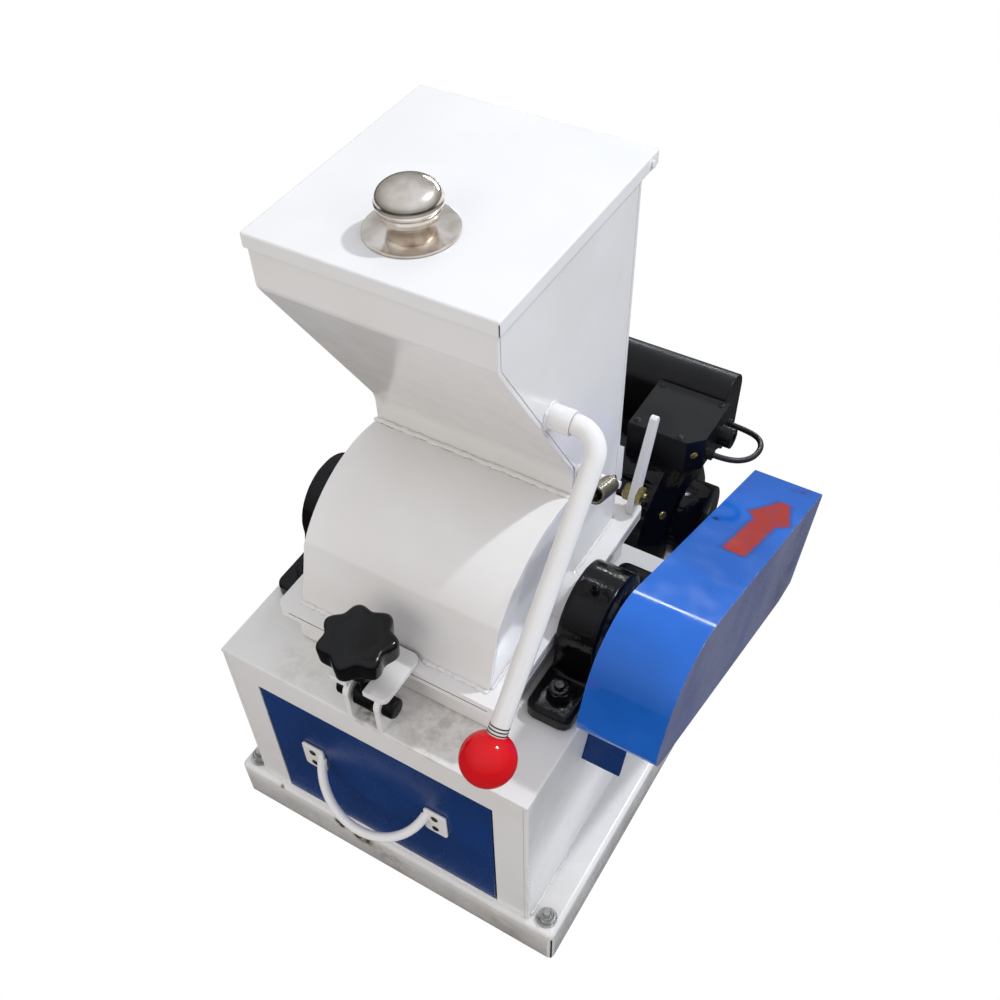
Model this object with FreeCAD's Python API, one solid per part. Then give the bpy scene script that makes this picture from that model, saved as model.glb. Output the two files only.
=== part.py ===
import FreeCAD, Part
import math
import os

# Bench hammer crusher: a folded base tray carries a cabinet with a collecting drawer, a split
# crushing chamber with a hopper and lid on top of it, two pillow block bearings with the hammer
# rotor between them, and a motor behind that drives the rotor through belts under a guard.
# Frame: X to the right, Y to the rear, Z up. The origin is on the floor, below the cabinet's front.

V = FreeCAD.Vector
beyond = 500.0  # farther than any side of the machine, for cuts that go right through
ALONG_X = V(1, 0, 0)
ALONG_Y = V(0, 1, 0)
ALONG_Z = V(0, 0, 1)

# Base tray
base_ledge = 26.0
base_front = -5.0
base_rear_ledge = 93.0
base_height = 47.0
base_sheet = 4.0
base_lip = 22.0
base_bend = 5.0
base_washer_margin = 2.0
base_bolt_inset_y = 14.0
base_bolt_radius = 5.0
base_washer = 1.6
base_nut = 17.0
base_nut_height = 8.0
base_stud_above = 16.0
base_head = 6.0
base_head_margin = 5.0
bolt_hole_gap = 0.4

# Cabinet
cabinet_half_width = 143.0
cabinet_depth = 261.0
cabinet_top_z = 246.0
cabinet_sheet = 4.0
cabinet_edge = 2.0
chute_margin = 9.0
chute_front = 64.0
chute_rear_margin = 12.0

# Drawer
drawer_post = 32.5
drawer_floor_gap = 3.5
drawer_front_height = 162.0
drawer_gap = 1.5
drawer_sheet = 2.0
drawer_tray_inset = 6.5
drawer_rear_gap = 25.0
drawer_tray_height = 118.0
runner_height = 4.0
runner_width = 24.0
runner_side_gap = 5.0
slide_gap = 0.3
handle_centre_x = -4.0
handle_span = 123.0
handle_z = 143.0
handle_foot_width = 22.0
handle_foot_height = 33.0
handle_reach = 30.0
handle_drop = 26.0
handle_thickness = 3.0
handle_bow_radius = 4.2

# Crushing chamber
axis_offset = 4.0
axis_height = 43.0
chamber_inset = 16.3
chamber_sheet = 3.0
drum_forward = 8.0
drum_rise = 3.0
drum_foot_inset = 12.0
drum_bulge = 1.0
crease_back = 15.5
crease_z = 346.0
throat_width = 77.0
throat_z = 412.0
hopper_reach = 94.3
hopper_front_z = 569.7
hopper_rear_inset = 22.0
hopper_top_z = 605.7
flange_bearing_gap = 1.5
flange_front = 34.0
flange_rear_overhang = 5.0
flange_thickness = 6.0
flange_split_z = 288.0
lower_wall = 5.0
lower_inset = 9.0
lower_front_inset = 10.0
lower_rear_inset = 16.0
seal_radius = 22.0
seal_bore = 16.5

# Lid
lid_side_gap = 2.3
lid_front_gap = 1.7
lid_overhang = 18.0
lid_sheet = 1.5
lid_skirt = 8.3
lid_seat_gap = 0.3
lid_edge = 1.5
lid_pin_inset = 9.0
lid_pin_drop = 6.0
lid_pin_radius = 2.5
lid_pin_stub = 1.5
lid_lug_inset = 22.7
lid_lug_thickness = 6.0
lid_lug_wall = 1.7
lid_lug_height = 26.0
stop_lug_z = 326.0
stop_lug_height = 46.0
stop_lug_reach = 9.0
stop_lug_thickness = 5.0
knob_from_front = 49.0
knob_plate_radius = 30.0
knob_radius = 21.0

# Gate and lever
lever_forward = 35.0
lever_z = 494.0
lever_plane_out = 20.5
lever_radius = 7.0
lever_bend = 17.0
shaft_radius = 6.0
sleeve_radius = 8.5
sleeve_length = 16.8
ball_y = -15.5
ball_z = 322.4
ball_radius = 20.0
gate_thickness = 3.0
gate_side_gap = 5.2
gate_tip_gap = 5.2
running_gap = 0.05

# Return spring of the gate
spring_radius = 5.5
spring_wire = 1.1
spring_body = 42.0
spring_neck = 2.5
spring_hook_gap = 0.3
stud_back = 11.0
stud_z = 405.0
stud_radius = 3.0
stud_length = 31.3
stud_hook_inset = 6.0
lever_hook_at = 0.215

# Clamp
clamp_y = 11.0
clamp_pin_z = 271.0
ear_inner = 11.5
ear_thickness = 5.0
ear_rear = 22.0
ear_top = 285.0
clamp_pin_radius = 5.0
clamp_head_radius = 8.0
clamp_head_length = 8.0
swing_bolt_radius = 5.5
swing_eye_radius = 10.0
swing_eye_half_width = 8.0
tab_half_width = 27.0
tab_front = -3.0
tab_slot = 7.0
star_radius = 30.0
star_lobes = 7
star_lobe_radius = 9.0
star_body_bottom = 328.0
star_body_top = 347.0
star_hub_radius = 12.5
star_hub_bottom = 306.5

# Rear bars
rear_bar_inset = 9.0
rear_bar_thickness = 6.0
rear_bar_rear_inset = 7.5
rear_bar_root = 15.0
rear_bar_tip = 9.0
rear_bar_pivot_height = 18.0
rear_bar_lean = 24.0
rear_bar_tip_z = 376.0
rear_bar_bolt = 13.0

# Pillow block bearings
bearing_edge = 24.0
bearing_width = 33.0
bearing_ring = 40.0
bearing_foot_half = 82.5
bearing_foot_width = 38.0
bearing_foot_height = 14.0
bearing_bolt_half = 60.5
bearing_bolt_radius = 5.5
bearing_washer = 2.0
bearing_washer_radius = 11.0
bearing_head = 17.0
bearing_head_height = 7.0
bearing_insert_width = 35.0
bearing_sleeve_wall = 5.5
rotor_shaft_radius = 15.0

# Rotor
hammer_beyond_disc = 22.0
rotor_disc_thickness = 7.0
rotor_end_room = 18.0
rotor_discs = 4
rotor_spacer_wall = 7.0
hammer_pin_inset = 14.0
hammer_pin_radius = 5.0
hammer_rows = 4
hammer_room = 18.0
hammer_width = 24.0
hammer_side_gap = 2.5
hammer_bore_gap = 0.4
rotor_pin_beyond = 3.0
rotor_end_beyond = 2.0
shaft_end_beyond = 4.0

# Grate below the rotor
grate_gap = 7.0
grate_thickness = 3.0
grate_side_gap = 3.0
grate_ledge = 6.0

# Belt drive and guard
guard_origin_y = 155.0
guard_origin_z = 294.0
guard_side_gap = 9.0
guard_width = 62.0
guard_front = 95.0
guard_beyond_motor = 43.3
guard_half_height = 50.0
guard_sheet = 1.5
guard_top_round = 55.0
guard_bottom_round = 18.0
guard_chamfer_height = 7.0
guard_chamfer_length = 31.0
guard_hole_gap = 5.0
guard_leg_u = -24.0
guard_leg_bottom = 122.0
guard_leg_reach = 33.0
guard_leg_sheet = 3.0
belt_first = 16.0
belt_pitch = 18.0
belt_width = 12.0
belt_depth = 7.0
pulley_inset = 7.0
pulley_width = 36.0
rotor_pulley_radius = 34.0
motor_pulley_radius = 36.0
belt_clearance = 0.3

# Motor
motor_gap = 3.0
motor_z = 216.5
motor_radius = 67.0
motor_fin = 8.0
motor_fins = 30
motor_fin_thickness = 2.2
fins_bare_from = 25.0
fins_bare_to = 120.0
motor_length = 144.0
motor_cowl_length = 58.0
motor_cowl_radius = 74.0
motor_guard_gap = 22.0
motor_hub_length = 18.0
motor_shield_length = 28.0
motor_hub_radius = 36.0
motor_rim_step = 3.0
end_shield_rim = 12.0
motor_shaft_radius = 9.5
motor_shaft_inside = 30.0
motor_bore_inside = 35.0
motor_foot_half = 62.0
motor_foot_thickness = 10.0
motor_foot_left_inset = 16.0
motor_foot_right_inset = 18.0
motor_leg_offset = 48.0
motor_leg_width = 14.0
motor_leg_drop = 40.0
stand_left_margin = 28.0
stand_right_margin = 26.0
stand_side_margin = 6.0
stand_sheet = 5.0

# Electrical boxes on the motor
box_length = 66.0
box_past_shield = 10.0
box_forward = 16.0
box_depth = 62.0
box_bottom = 268.0
box_top = 320.0
box_chamfer = 12.0
cover_gap = 1.0
cover_length = 122.0
cover_past_shield = 4.0
cover_depth = 42.0
cover_bottom = 250.0
cover_top = 328.0
cover_round = 20.5
gland_z = 300.0
gland_y = 341.0
gland_length = 6.0
gland_radius = 5.0
supply_gland_y = 371.0
supply_gland_z = 296.0
supply_gland_radius = 9.0
supply_gland_length = 12.0
supply_gland_bore = 4.5
cover_gland_y = 398.5
cover_gland_z = 285.0
lead_radius = 2.5


# Places worked out from the sizes above
base_half_width = cabinet_half_width + base_ledge
base_washer_radius = base_ledge / 2 - base_washer_margin
base_head_radius = base_ledge / 2 - base_head_margin
drawer_half_width = cabinet_half_width - drawer_post
drawer_tray_half_width = drawer_half_width - drawer_tray_inset
drawer_tray_depth = cabinet_depth - drawer_rear_gap
bearing_x = cabinet_half_width - bearing_edge
flange_half_width = bearing_x - bearing_width / 2 - flange_bearing_gap
flange_rear = cabinet_depth + flange_rear_overhang
lower_half_width = flange_half_width - lower_inset
lower_front = flange_front + lower_front_inset
lower_rear = flange_rear - lower_rear_inset
chute_half_width = lower_half_width - chute_margin
chute_rear = lower_rear - chute_rear_margin
axis_y = (lower_front + lower_rear) / 2 + axis_offset
axis_z = cabinet_top_z + axis_height
chamber_half_width = flange_half_width - chamber_inset
drum_foot_y = flange_front + drum_foot_inset
drum_centre_y = axis_y - drum_forward
drum_centre_z = axis_z + drum_rise
drum_radius = drum_centre_y - drum_foot_y + drum_bulge
crease_y = drum_foot_y + crease_back
hopper_rear_y = flange_rear - hopper_rear_inset
throat_y = hopper_rear_y - throat_width
hopper_front_y = throat_y - hopper_reach

lid_half_width = chamber_half_width + lid_side_gap
lid_front = hopper_front_y - lid_front_gap
lid_rear = hopper_rear_y + lid_overhang
lid_pin_y = lid_rear - lid_pin_inset
lid_lug_x = chamber_half_width - lid_lug_inset
knob_y = lid_front + knob_from_front
lever_y = throat_y - lever_forward
sleeve_end_x = chamber_half_width + sleeve_length
lever_plane_x = sleeve_end_x + lever_plane_out
stud_y = throat_y + stud_back
stud_end_x = chamber_half_width + stud_length
stud_hook_x = stud_end_x - stud_hook_inset
rear_bar_x = flange_half_width - rear_bar_inset
rear_bar_y = flange_rear - rear_bar_rear_inset

hammer_tip = (lower_rear - lower_front) / 2 - lower_wall - hammer_room
rotor_disc_radius = hammer_tip - hammer_beyond_disc
hammer_pin_circle = rotor_disc_radius - hammer_pin_inset
rotor_disc_pitch = (lower_half_width - lower_wall - rotor_end_room) * 2 / (rotor_discs - 1)
hammer_thickness = rotor_disc_pitch - rotor_disc_thickness - 2 * hammer_side_gap
grate_radius = hammer_tip + grate_gap
grate_half_width = chute_half_width - grate_side_gap

motor_y = cabinet_depth + motor_gap + motor_radius + motor_fin
base_rear = motor_y + base_rear_ledge
guard_inner_x = cabinet_half_width + guard_side_gap
guard_outer_x = guard_inner_x + guard_width
guard_leg_right = cabinet_half_width + guard_leg_reach
guard_tilt = math.degrees(math.atan2(guard_origin_z - motor_z, motor_y - guard_origin_y))
guard_rear = math.hypot(guard_origin_z - motor_z, motor_y - guard_origin_y) + guard_beyond_motor
belt_x = (guard_inner_x + belt_first, guard_inner_x + belt_first + belt_pitch)
pulley_left = guard_inner_x + pulley_inset
pulley_right = pulley_left + pulley_width
motor_hub_right = guard_inner_x - motor_guard_gap
motor_shield_right = motor_hub_right - motor_hub_length
motor_right = motor_shield_right - motor_shield_length
motor_left = motor_right - motor_length
motor_cowl_left = motor_left - motor_cowl_length
motor_foot_left = motor_left + motor_foot_left_inset
motor_foot_right = motor_right - motor_foot_right_inset
stand_left = motor_foot_left - stand_left_margin
stand_right = motor_foot_right + stand_right_margin
box_right = motor_shield_right + box_past_shield
box_left = box_right - box_length
box_front = motor_y - box_forward
box_rear = box_front + box_depth
cover_right = motor_shield_right + cover_past_shield
cover_left = cover_right - cover_length
cover_front = box_rear + cover_gap
cover_rear = cover_front + cover_depth

lid_under = hopper_top_z + lid_seat_gap
lid_top = lid_under + lid_sheet
lid_pin_z = lid_top - lid_pin_drop


def block(x0, x1, y0, y1, z0, z1):
    return Part.makeBox(x1 - x0, y1 - y0, z1 - z0, V(x0, y0, z0))


def bar_x(x0, x1, y, z, radius):
    return Part.makeCylinder(radius, x1 - x0, V(x0, y, z), ALONG_X)


def bar_z(z0, z1, x, y, radius):
    return Part.makeCylinder(radius, z1 - z0, V(x, y, z0), ALONG_Z)


def bar(start, end, radius):
    span = end - start
    return Part.makeCylinder(radius, span.Length, start, span)


def merged(shapes):
    first = shapes[0]
    if len(shapes) > 1:
        first = first.multiFuse(shapes[1:])
    return first.removeSplitter()


def mirrored(shape):
    return shape.mirror(V(0, 0, 0), ALONG_X)


def both_sides(shape):
    return Part.makeCompound([shape, mirrored(shape)])


# A closed outline is a list of points; a pair of points in it is an arc, through the first to the second.
def face_from(place, steps):
    edges = []
    here = place(*steps[0])
    for step in steps[1:] + [steps[0]]:
        if isinstance(step[0], tuple):
            middle, end = place(*step[0]), place(*step[1])
            edges.append(Part.Arc(here, middle, end).toShape())
        else:
            end = place(*step)
            if (end - here).Length < 1e-6:
                continue
            edges.append(Part.LineSegment(here, end).toShape())
        here = end
    return Part.Face(Part.Wire(edges))


def side_plate(steps, x0, x1):
    return face_from(lambda y, z: V(x0, y, z), steps).extrude(V(x1 - x0, 0, 0))


def level_plate(steps, z0, z1):
    return face_from(lambda x, y: V(x, y, z0), steps).extrude(V(0, 0, z1 - z0))


def hexagon(across_flats):
    radius = across_flats / math.sqrt(3)
    return [(radius * math.cos(math.radians(60 * i)), radius * math.sin(math.radians(60 * i))) for i in range(6)]


def rounded_rectangle(x0, x1, y0, y1, r):
    k = r * (1 - math.sqrt(0.5))
    return [
        (x0 + r, y0),
        (x1 - r, y0),
        ((x1 - k, y0 + k), (x1, y0 + r)),
        (x1, y1 - r),
        ((x1 - k, y1 - k), (x1 - r, y1)),
        (x0 + r, y1),
        ((x0 + k, y1 - k), (x0, y1 - r)),
        (x0, y0 + r),
        ((x0 + k, y0 + k), (x0 + r, y0)),
    ]


def fillet_where(shape, radius, chosen):
    edges = [edge for edge in shape.Edges if chosen(edge)]
    return shape.makeFillet(radius, edges)


def runs_along(edge, axis):
    ends = edge.Vertexes
    if len(ends) < 2:
        return False
    span = ends[1].Point - ends[0].Point
    return abs(abs(span.normalize().dot(axis)) - 1) < 1e-6


# Base tray: a folded sheet, open below, standing on the returned lips.
def base_tray():
    w, s = base_half_width, base_sheet
    tray = block(-w, w, base_front, base_rear, 0, base_height)
    upright = [e for e in tray.Edges if runs_along(e, ALONG_Z)]
    tray = tray.makeFillet(base_bend, upright)
    tray = fillet_where(tray, base_bend, lambda e: abs(e.CenterOfMass.z - base_height) < 1e-3)
    hollow = block(-w + s, w - s, base_front + s, base_rear - s, s, base_height - s)
    mouth = block(-w + base_lip, w - base_lip, base_front + base_lip, base_rear - base_lip, -1, s + 1)
    holes = [
        bar_z(base_height - s - 1, base_height + 1, x, y, base_bolt_radius + bolt_hole_gap)
        for x, y in base_bolt_places()
    ]
    return tray.cut(hollow).cut(mouth).cut(Part.makeCompound(holes))


def base_bolt_places():
    x = base_half_width - base_ledge / 2
    return [(sx * x, y) for sx in (-1, 1) for y in (base_front + base_bolt_inset_y, base_rear - base_bolt_inset_y)]


def base_bolts():
    under = base_height - base_sheet
    bolts = []
    for x, y in base_bolt_places():
        nut_z = base_height + base_washer
        disc = bar_z(base_height, nut_z, x, y, base_washer_radius)
        nut = level_plate([(x + u, y + v) for u, v in hexagon(base_nut)], nut_z, nut_z + base_nut_height)
        stud = bar_z(under, base_height + base_stud_above, x, y, base_bolt_radius)
        below = bar_z(under - base_head, under, x, y, base_head_radius)
        bolts.append(merged([disc, nut, stud, below]))
    return bolts


# Cabinet: welded sheet panels with the drawer's opening at the front.
def cabinet_front():
    w = cabinet_half_width - cabinet_sheet
    panel = block(-w, w, 0, cabinet_sheet, base_height, cabinet_top_z - cabinet_sheet)
    half = drawer_half_width + drawer_gap
    low = base_height + drawer_floor_gap - drawer_gap
    high = base_height + drawer_floor_gap + drawer_front_height + drawer_gap
    return panel.cut(block(-half, half, -1, cabinet_sheet + 1, low, high))


def cabinet_side():
    w = cabinet_half_width
    panel = block(w - cabinet_sheet, w, 0, cabinet_depth, base_height, cabinet_top_z - cabinet_sheet)
    return fillet_where(panel, cabinet_edge, lambda e: runs_along(e, ALONG_Z) and e.CenterOfMass.x > w - 0.1)


def cabinet_rear():
    w = cabinet_half_width - cabinet_sheet
    return block(-w, w, cabinet_depth - cabinet_sheet, cabinet_depth, base_height, cabinet_top_z - cabinet_sheet)


def cabinet_top():
    w = cabinet_half_width
    panel = block(-w, w, 0, cabinet_depth, cabinet_top_z - cabinet_sheet, cabinet_top_z)
    panel = fillet_where(panel, cabinet_edge, lambda e: abs(e.CenterOfMass.z - cabinet_top_z) < 1e-3)
    chute = block(-chute_half_width, chute_half_width, chute_front, chute_rear, 0, cabinet_top_z + 1)
    return panel.cut(chute)


# Drawer: a blue front plate on an open tray that slides on two angle runners.
drawer_bottom_z = base_height + runner_height + slide_gap


def drawer_front():
    low = base_height + drawer_floor_gap
    plate = block(-drawer_half_width, drawer_half_width, 0, cabinet_sheet, low, low + drawer_front_height)
    return fillet_where(plate, 1.0, lambda e: abs(e.CenterOfMass.y) < 1e-3)


def drawer_tray():
    w, s = drawer_tray_half_width, drawer_sheet
    y0, y1 = cabinet_sheet, drawer_tray_depth
    tray = block(-w, w, y0, y1, drawer_bottom_z, drawer_bottom_z + drawer_tray_height)
    inside = block(-w + s, w - s, y0 + s, y1 - s, drawer_bottom_z + s, drawer_bottom_z + drawer_tray_height + 1)
    return tray.cut(inside)


def drawer_runner():
    outer = drawer_tray_half_width + runner_side_gap + drawer_sheet
    ledge = block(outer - runner_width, outer, cabinet_sheet + 2, cabinet_depth - cabinet_sheet - 4,
                  base_height, base_height + runner_height)
    guide = block(outer - drawer_sheet, outer, cabinet_sheet + 2, cabinet_depth - cabinet_sheet - 4,
                  base_height, base_height + runner_width)
    return both_sides(merged([ledge, guide]))


def drawer_handle():
    half = handle_span / 2
    foot = block(-handle_foot_width / 2, handle_foot_width / 2, -handle_thickness, 0,
                 handle_z - handle_foot_height / 2, handle_z + handle_foot_height / 2)
    foot = fillet_where(foot, 3.0, lambda e: runs_along(e, ALONG_Y))
    left, right = handle_centre_x - half, handle_centre_x + half
    pieces = [foot.translated(V(left, 0, 0)), foot.translated(V(right, 0, 0))]
    inner = half - handle_foot_width / 2 + 2
    start = V(handle_centre_x - inner, -handle_thickness / 2, handle_z + 6)
    middle = V(handle_centre_x, -handle_reach, handle_z - handle_drop)
    end = V(handle_centre_x + inner, -handle_thickness / 2, handle_z + 6)
    arc = Part.Arc(start, middle, end)
    path = Part.Wire([arc.toShape()])
    tangent = arc.tangent(arc.FirstParameter)[0]
    ring = Part.Wire([Part.Circle(start, tangent, handle_bow_radius).toShape()])
    bow = path.makePipeShell([ring], True, True)
    bow = bow.cut(block(-beyond, beyond, 0, beyond, 0, beyond))
    return merged(pieces + [bow])


# Crushing chamber, lower half: walls round the chute and the lower flange.
def ring_plate(z0, z1, inner_x, inner_front, inner_rear):
    plate = level_plate(rounded_rectangle(-flange_half_width, flange_half_width, flange_front, flange_rear, 6.0), z0, z1)
    return plate.cut(block(-inner_x, inner_x, inner_front, inner_rear, z0 - 1, z1 + 1))


def shaft_bore(radius=seal_bore):
    return bar_x(-beyond, beyond, axis_y, axis_z, radius)


def seal_halves(upper):
    ring = bar_x(chamber_half_width, flange_half_width, axis_y, axis_z, seal_radius)
    low, high = (flange_split_z, beyond) if upper else (0, flange_split_z)
    half = ring.common(block(0, beyond, 0, beyond, low, high))
    return [half, mirrored(half)]


def lower_housing():
    w, t = lower_half_width, lower_wall
    outer = block(-w, w, lower_front, lower_rear, cabinet_top_z, flange_split_z - flange_thickness)
    inner = block(-w + t, w - t, lower_front + t, lower_rear - t, 0, beyond)
    flange = ring_plate(flange_split_z - flange_thickness, flange_split_z, w - t, lower_front + t, lower_rear - t)
    return merged([outer.cut(inner), flange] + seal_halves(False)).cut(shaft_bore())


# Crushing chamber, upper half: side plates, the drum cover and the folded hopper sheets.
upper_z = flange_split_z + flange_thickness


def upper_flange():
    inside = chamber_half_width - chamber_sheet
    plate = ring_plate(flange_split_z, upper_z, inside, drum_foot_y + chamber_sheet, hopper_rear_y - chamber_sheet)
    return merged([plate] + seal_halves(True)).cut(shaft_bore())


def drum_point(angle, radius):
    a = math.radians(angle)
    return (drum_centre_y + radius * math.cos(a), drum_centre_z + radius * math.sin(a))


drum_start_angle = math.degrees(math.atan2(crease_z - drum_centre_z, crease_y - drum_centre_y))


def drum_top_angle(radius, y):
    return math.degrees(math.acos((y - drum_centre_y) / radius))


def drum_line(radius, y_end):
    a0, a1 = drum_start_angle, drum_top_angle(radius, y_end)
    return [drum_point(a0, radius), (drum_point((a0 + a1) / 2, radius), drum_point(a1, radius))]


def drum_cover():
    inner = drum_radius - chamber_sheet
    outside = [(drum_foot_y, upper_z)] + drum_line(drum_radius, throat_y)
    a0, a1 = drum_start_angle, drum_top_angle(inner, throat_y)
    inside = [drum_point(a1, inner), (drum_point((a0 + a1) / 2, inner), drum_point(a0, inner)),
              (drum_foot_y + chamber_sheet, upper_z)]
    return side_plate(outside + inside, -chamber_half_width, chamber_half_width)


def hopper_front():
    t = chamber_sheet
    run, rise = throat_y - hopper_front_y, hopper_front_z - throat_z
    slope = math.hypot(run, rise)
    corner = t * (slope - rise) / run
    bottom = drum_centre_z + math.sqrt(drum_radius ** 2 - (throat_y - drum_centre_y) ** 2)
    bottom_inner = drum_centre_z + math.sqrt(drum_radius ** 2 - (throat_y + t - drum_centre_y) ** 2)
    outline = [
        (throat_y, bottom),
        (throat_y, throat_z),
        (hopper_front_y, hopper_front_z),
        (hopper_front_y, hopper_top_z),
        (hopper_front_y + t, hopper_top_z),
        (hopper_front_y + t, hopper_front_z + corner),
        (throat_y + t, throat_z + corner),
        (throat_y + t, bottom_inner),
    ]
    return side_plate(outline, -chamber_half_width, chamber_half_width)


# The rear sheet carries the two lugs of the lid's pin, and a small stop lug beside each tapered bar.
def hopper_rear():
    w = chamber_half_width
    sheet = block(-w, w, hopper_rear_y - chamber_sheet, hopper_rear_y, upper_z, hopper_top_z)
    return merged([sheet] + lid_lugs() + stop_lugs())


def lid_lugs():
    end = lid_pin_radius + lid_lug_wall
    outline = [
        (hopper_rear_y, lid_pin_z - lid_lug_height),
        (lid_pin_y + end, lid_pin_z),
        ((lid_pin_y + end * math.sqrt(0.5), lid_pin_z + end * math.sqrt(0.5)), (lid_pin_y, lid_pin_z + end)),
        (hopper_rear_y, lid_pin_z + end),
    ]
    half = lid_lug_thickness / 2
    lug = side_plate(outline, lid_lug_x - half, lid_lug_x + half)
    lug = lug.cut(bar_x(0, beyond, lid_pin_y, lid_pin_z, lid_pin_radius + running_gap))
    return [lug, mirrored(lug)]


def stop_lugs():
    y, z, reach = hopper_rear_y, stop_lug_z, stop_lug_reach
    outline = [(y, z), (y + reach, z + 4), (y + reach, z + stop_lug_height - 8), (y, z + stop_lug_height)]
    lug = side_plate(outline, chamber_half_width - stop_lug_thickness, chamber_half_width)
    return [lug, mirrored(lug)]


def chamber_side():
    t = chamber_sheet
    run, rise = throat_y - hopper_front_y, hopper_front_z - throat_z
    slope = math.hypot(run, rise)
    corner = t * (slope - rise) / run
    inner = drum_radius - t
    a0, a1 = drum_start_angle, drum_top_angle(inner, throat_y)
    outline = [
        (drum_foot_y + t, upper_z),
        drum_point(a0, inner),
        (drum_point((a0 + a1) / 2, inner), drum_point(a1, inner)),
        (throat_y, drum_centre_z + math.sqrt(drum_radius ** 2 - (throat_y - drum_centre_y) ** 2)),
        (throat_y + t, drum_centre_z + math.sqrt(drum_radius ** 2 - (throat_y + t - drum_centre_y) ** 2)),
        (throat_y + t, throat_z + corner),
        (hopper_front_y + t, hopper_front_z + corner),
        (hopper_front_y + t, hopper_top_z),
        (hopper_rear_y - t, hopper_top_z),
        (hopper_rear_y - t, upper_z),
    ]
    plate = side_plate(outline, chamber_half_width - t, chamber_half_width)
    plate = plate.cut(shaft_bore(seal_bore))
    return plate.cut(bar_x(0, beyond, lever_y, lever_z, shaft_radius + running_gap))


# Tapered bars behind the chamber that the upper half tips back on, each with its pivot bolt.
def rear_bars():
    x0, x1 = rear_bar_x, rear_bar_x + rear_bar_thickness
    pivot_y, pivot_z = rear_bar_y, upper_z + rear_bar_pivot_height
    tip_y, tip_z = pivot_y + rear_bar_lean, rear_bar_tip_z
    wide, narrow = rear_bar_root / 2, rear_bar_tip / 2
    outline = [
        (pivot_y - wide, upper_z),
        (pivot_y + wide, upper_z),
        (pivot_y + wide, pivot_z),
        (tip_y + narrow, tip_z - narrow),
        ((tip_y, tip_z), (tip_y - narrow, tip_z - narrow)),
        (pivot_y - wide, pivot_z),
    ]
    bar_plate = side_plate(outline, x0, x1)
    stud = bar_x(x0 - 6, x1 + 3, pivot_y, pivot_z, 4.0)
    head = side_plate([(pivot_y + u, pivot_z + v) for u, v in hexagon(rear_bar_bolt)], x1, x1 + 5)
    nut = side_plate([(pivot_y + u, pivot_z + v) for u, v in hexagon(rear_bar_bolt)], x0 - 6, x0)
    return both_sides(merged([bar_plate, stud, head, nut]))


# Pillow block bearing on the cabinet top: foot, ring and web in one casting.
def bearing_housing():
    x0, x1 = bearing_x - bearing_width / 2, bearing_x + bearing_width / 2
    f0, f1 = bearing_x - bearing_foot_width / 2, bearing_x + bearing_foot_width / 2
    foot_top = cabinet_top_z + bearing_foot_height
    foot = block(f0, f1, axis_y - bearing_foot_half, axis_y + bearing_foot_half, cabinet_top_z, foot_top)
    foot = fillet_where(foot, 8.0, lambda e: runs_along(e, ALONG_Z))
    foot = fillet_where(foot, 3.0, lambda e: abs(e.CenterOfMass.z - foot_top) < 1e-3)
    ring = bar_x(x0, x1, axis_y, axis_z, bearing_ring)
    shoulder = bearing_ring * 0.97
    web = side_plate([
        (axis_y - bearing_ring - 6, cabinet_top_z + 4),
        (axis_y + bearing_ring + 6, cabinet_top_z + 4),
        (axis_y + shoulder, axis_z - 4),
        (axis_y - shoulder, axis_z - 4),
    ], x0, x1)
    half = bearing_insert_width / 2
    sleeve = bar_x(bearing_x - half, bearing_x + half, axis_y, axis_z, rotor_shaft_radius + bearing_sleeve_wall)
    casting = merged([foot, ring, web, sleeve])
    casting = casting.cut(bar_x(0, beyond, axis_y, axis_z, rotor_shaft_radius + running_gap))
    hole = bearing_bolt_radius + bolt_hole_gap
    holes = [bar_z(cabinet_top_z - 1, foot_top + 30, bearing_x, y, hole) for y in bearing_bolt_ys()]
    return casting.cut(Part.makeCompound(holes))


def bearing_bolt_ys():
    return (axis_y - bearing_bolt_half, axis_y + bearing_bolt_half)


def bearing_bolts():
    foot_top = cabinet_top_z + bearing_foot_height
    bolts = []
    for y in bearing_bolt_ys():
        head_z = foot_top + bearing_washer
        disc = bar_z(foot_top, head_z, bearing_x, y, bearing_washer_radius)
        hexed = level_plate([(bearing_x + u, y + v) for u, v in hexagon(bearing_head)], head_z, head_z + bearing_head_height)
        shank = bar_z(cabinet_top_z, head_z, bearing_x, y, bearing_bolt_radius)
        bolts.append(merged([disc, hexed, shank]))
    return bolts + [mirrored(bolt) for bolt in bolts]


def mounting_bolts():
    return Part.makeCompound(base_bolts() + bearing_bolts())


# Rotor: a shouldered shaft with four discs, and the hammers swung out on their four pins.
def disc_places():
    first = -rotor_disc_pitch * (rotor_discs - 1) / 2
    return [first + rotor_disc_pitch * i for i in range(rotor_discs)]


def pin_places():
    return [
        (axis_y + hammer_pin_circle * math.cos(a), axis_z + hammer_pin_circle * math.sin(a))
        for a in (math.radians(45 + 360 / hammer_rows * i) for i in range(hammer_rows))
    ]


def rotor():
    left = -(bearing_x + bearing_insert_width / 2 + rotor_end_beyond)
    shoulder = rotor_shaft_radius + rotor_spacer_wall
    end = rotor_pin_end()
    shaft = merged([
        bar_x(left, pulley_right + shaft_end_beyond, axis_y, axis_z, rotor_shaft_radius),
        bar_x(-end, end, axis_y, axis_z, shoulder),
    ])
    half = rotor_disc_thickness / 2
    discs = []
    for x in disc_places():
        disc = bar_x(x - half, x + half, axis_y, axis_z, rotor_disc_radius)
        bores = [bar_x(-beyond, beyond, axis_y, axis_z, shoulder + running_gap)]
        bores += [bar_x(-beyond, beyond, y, z, hammer_pin_radius + running_gap) for y, z in pin_places()]
        discs.append(disc.cut(Part.makeCompound(bores)))
    return Part.makeCompound([shaft] + discs)


def rotor_pin_end():
    return disc_places()[-1] + rotor_disc_thickness / 2 + rotor_pin_beyond


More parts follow.
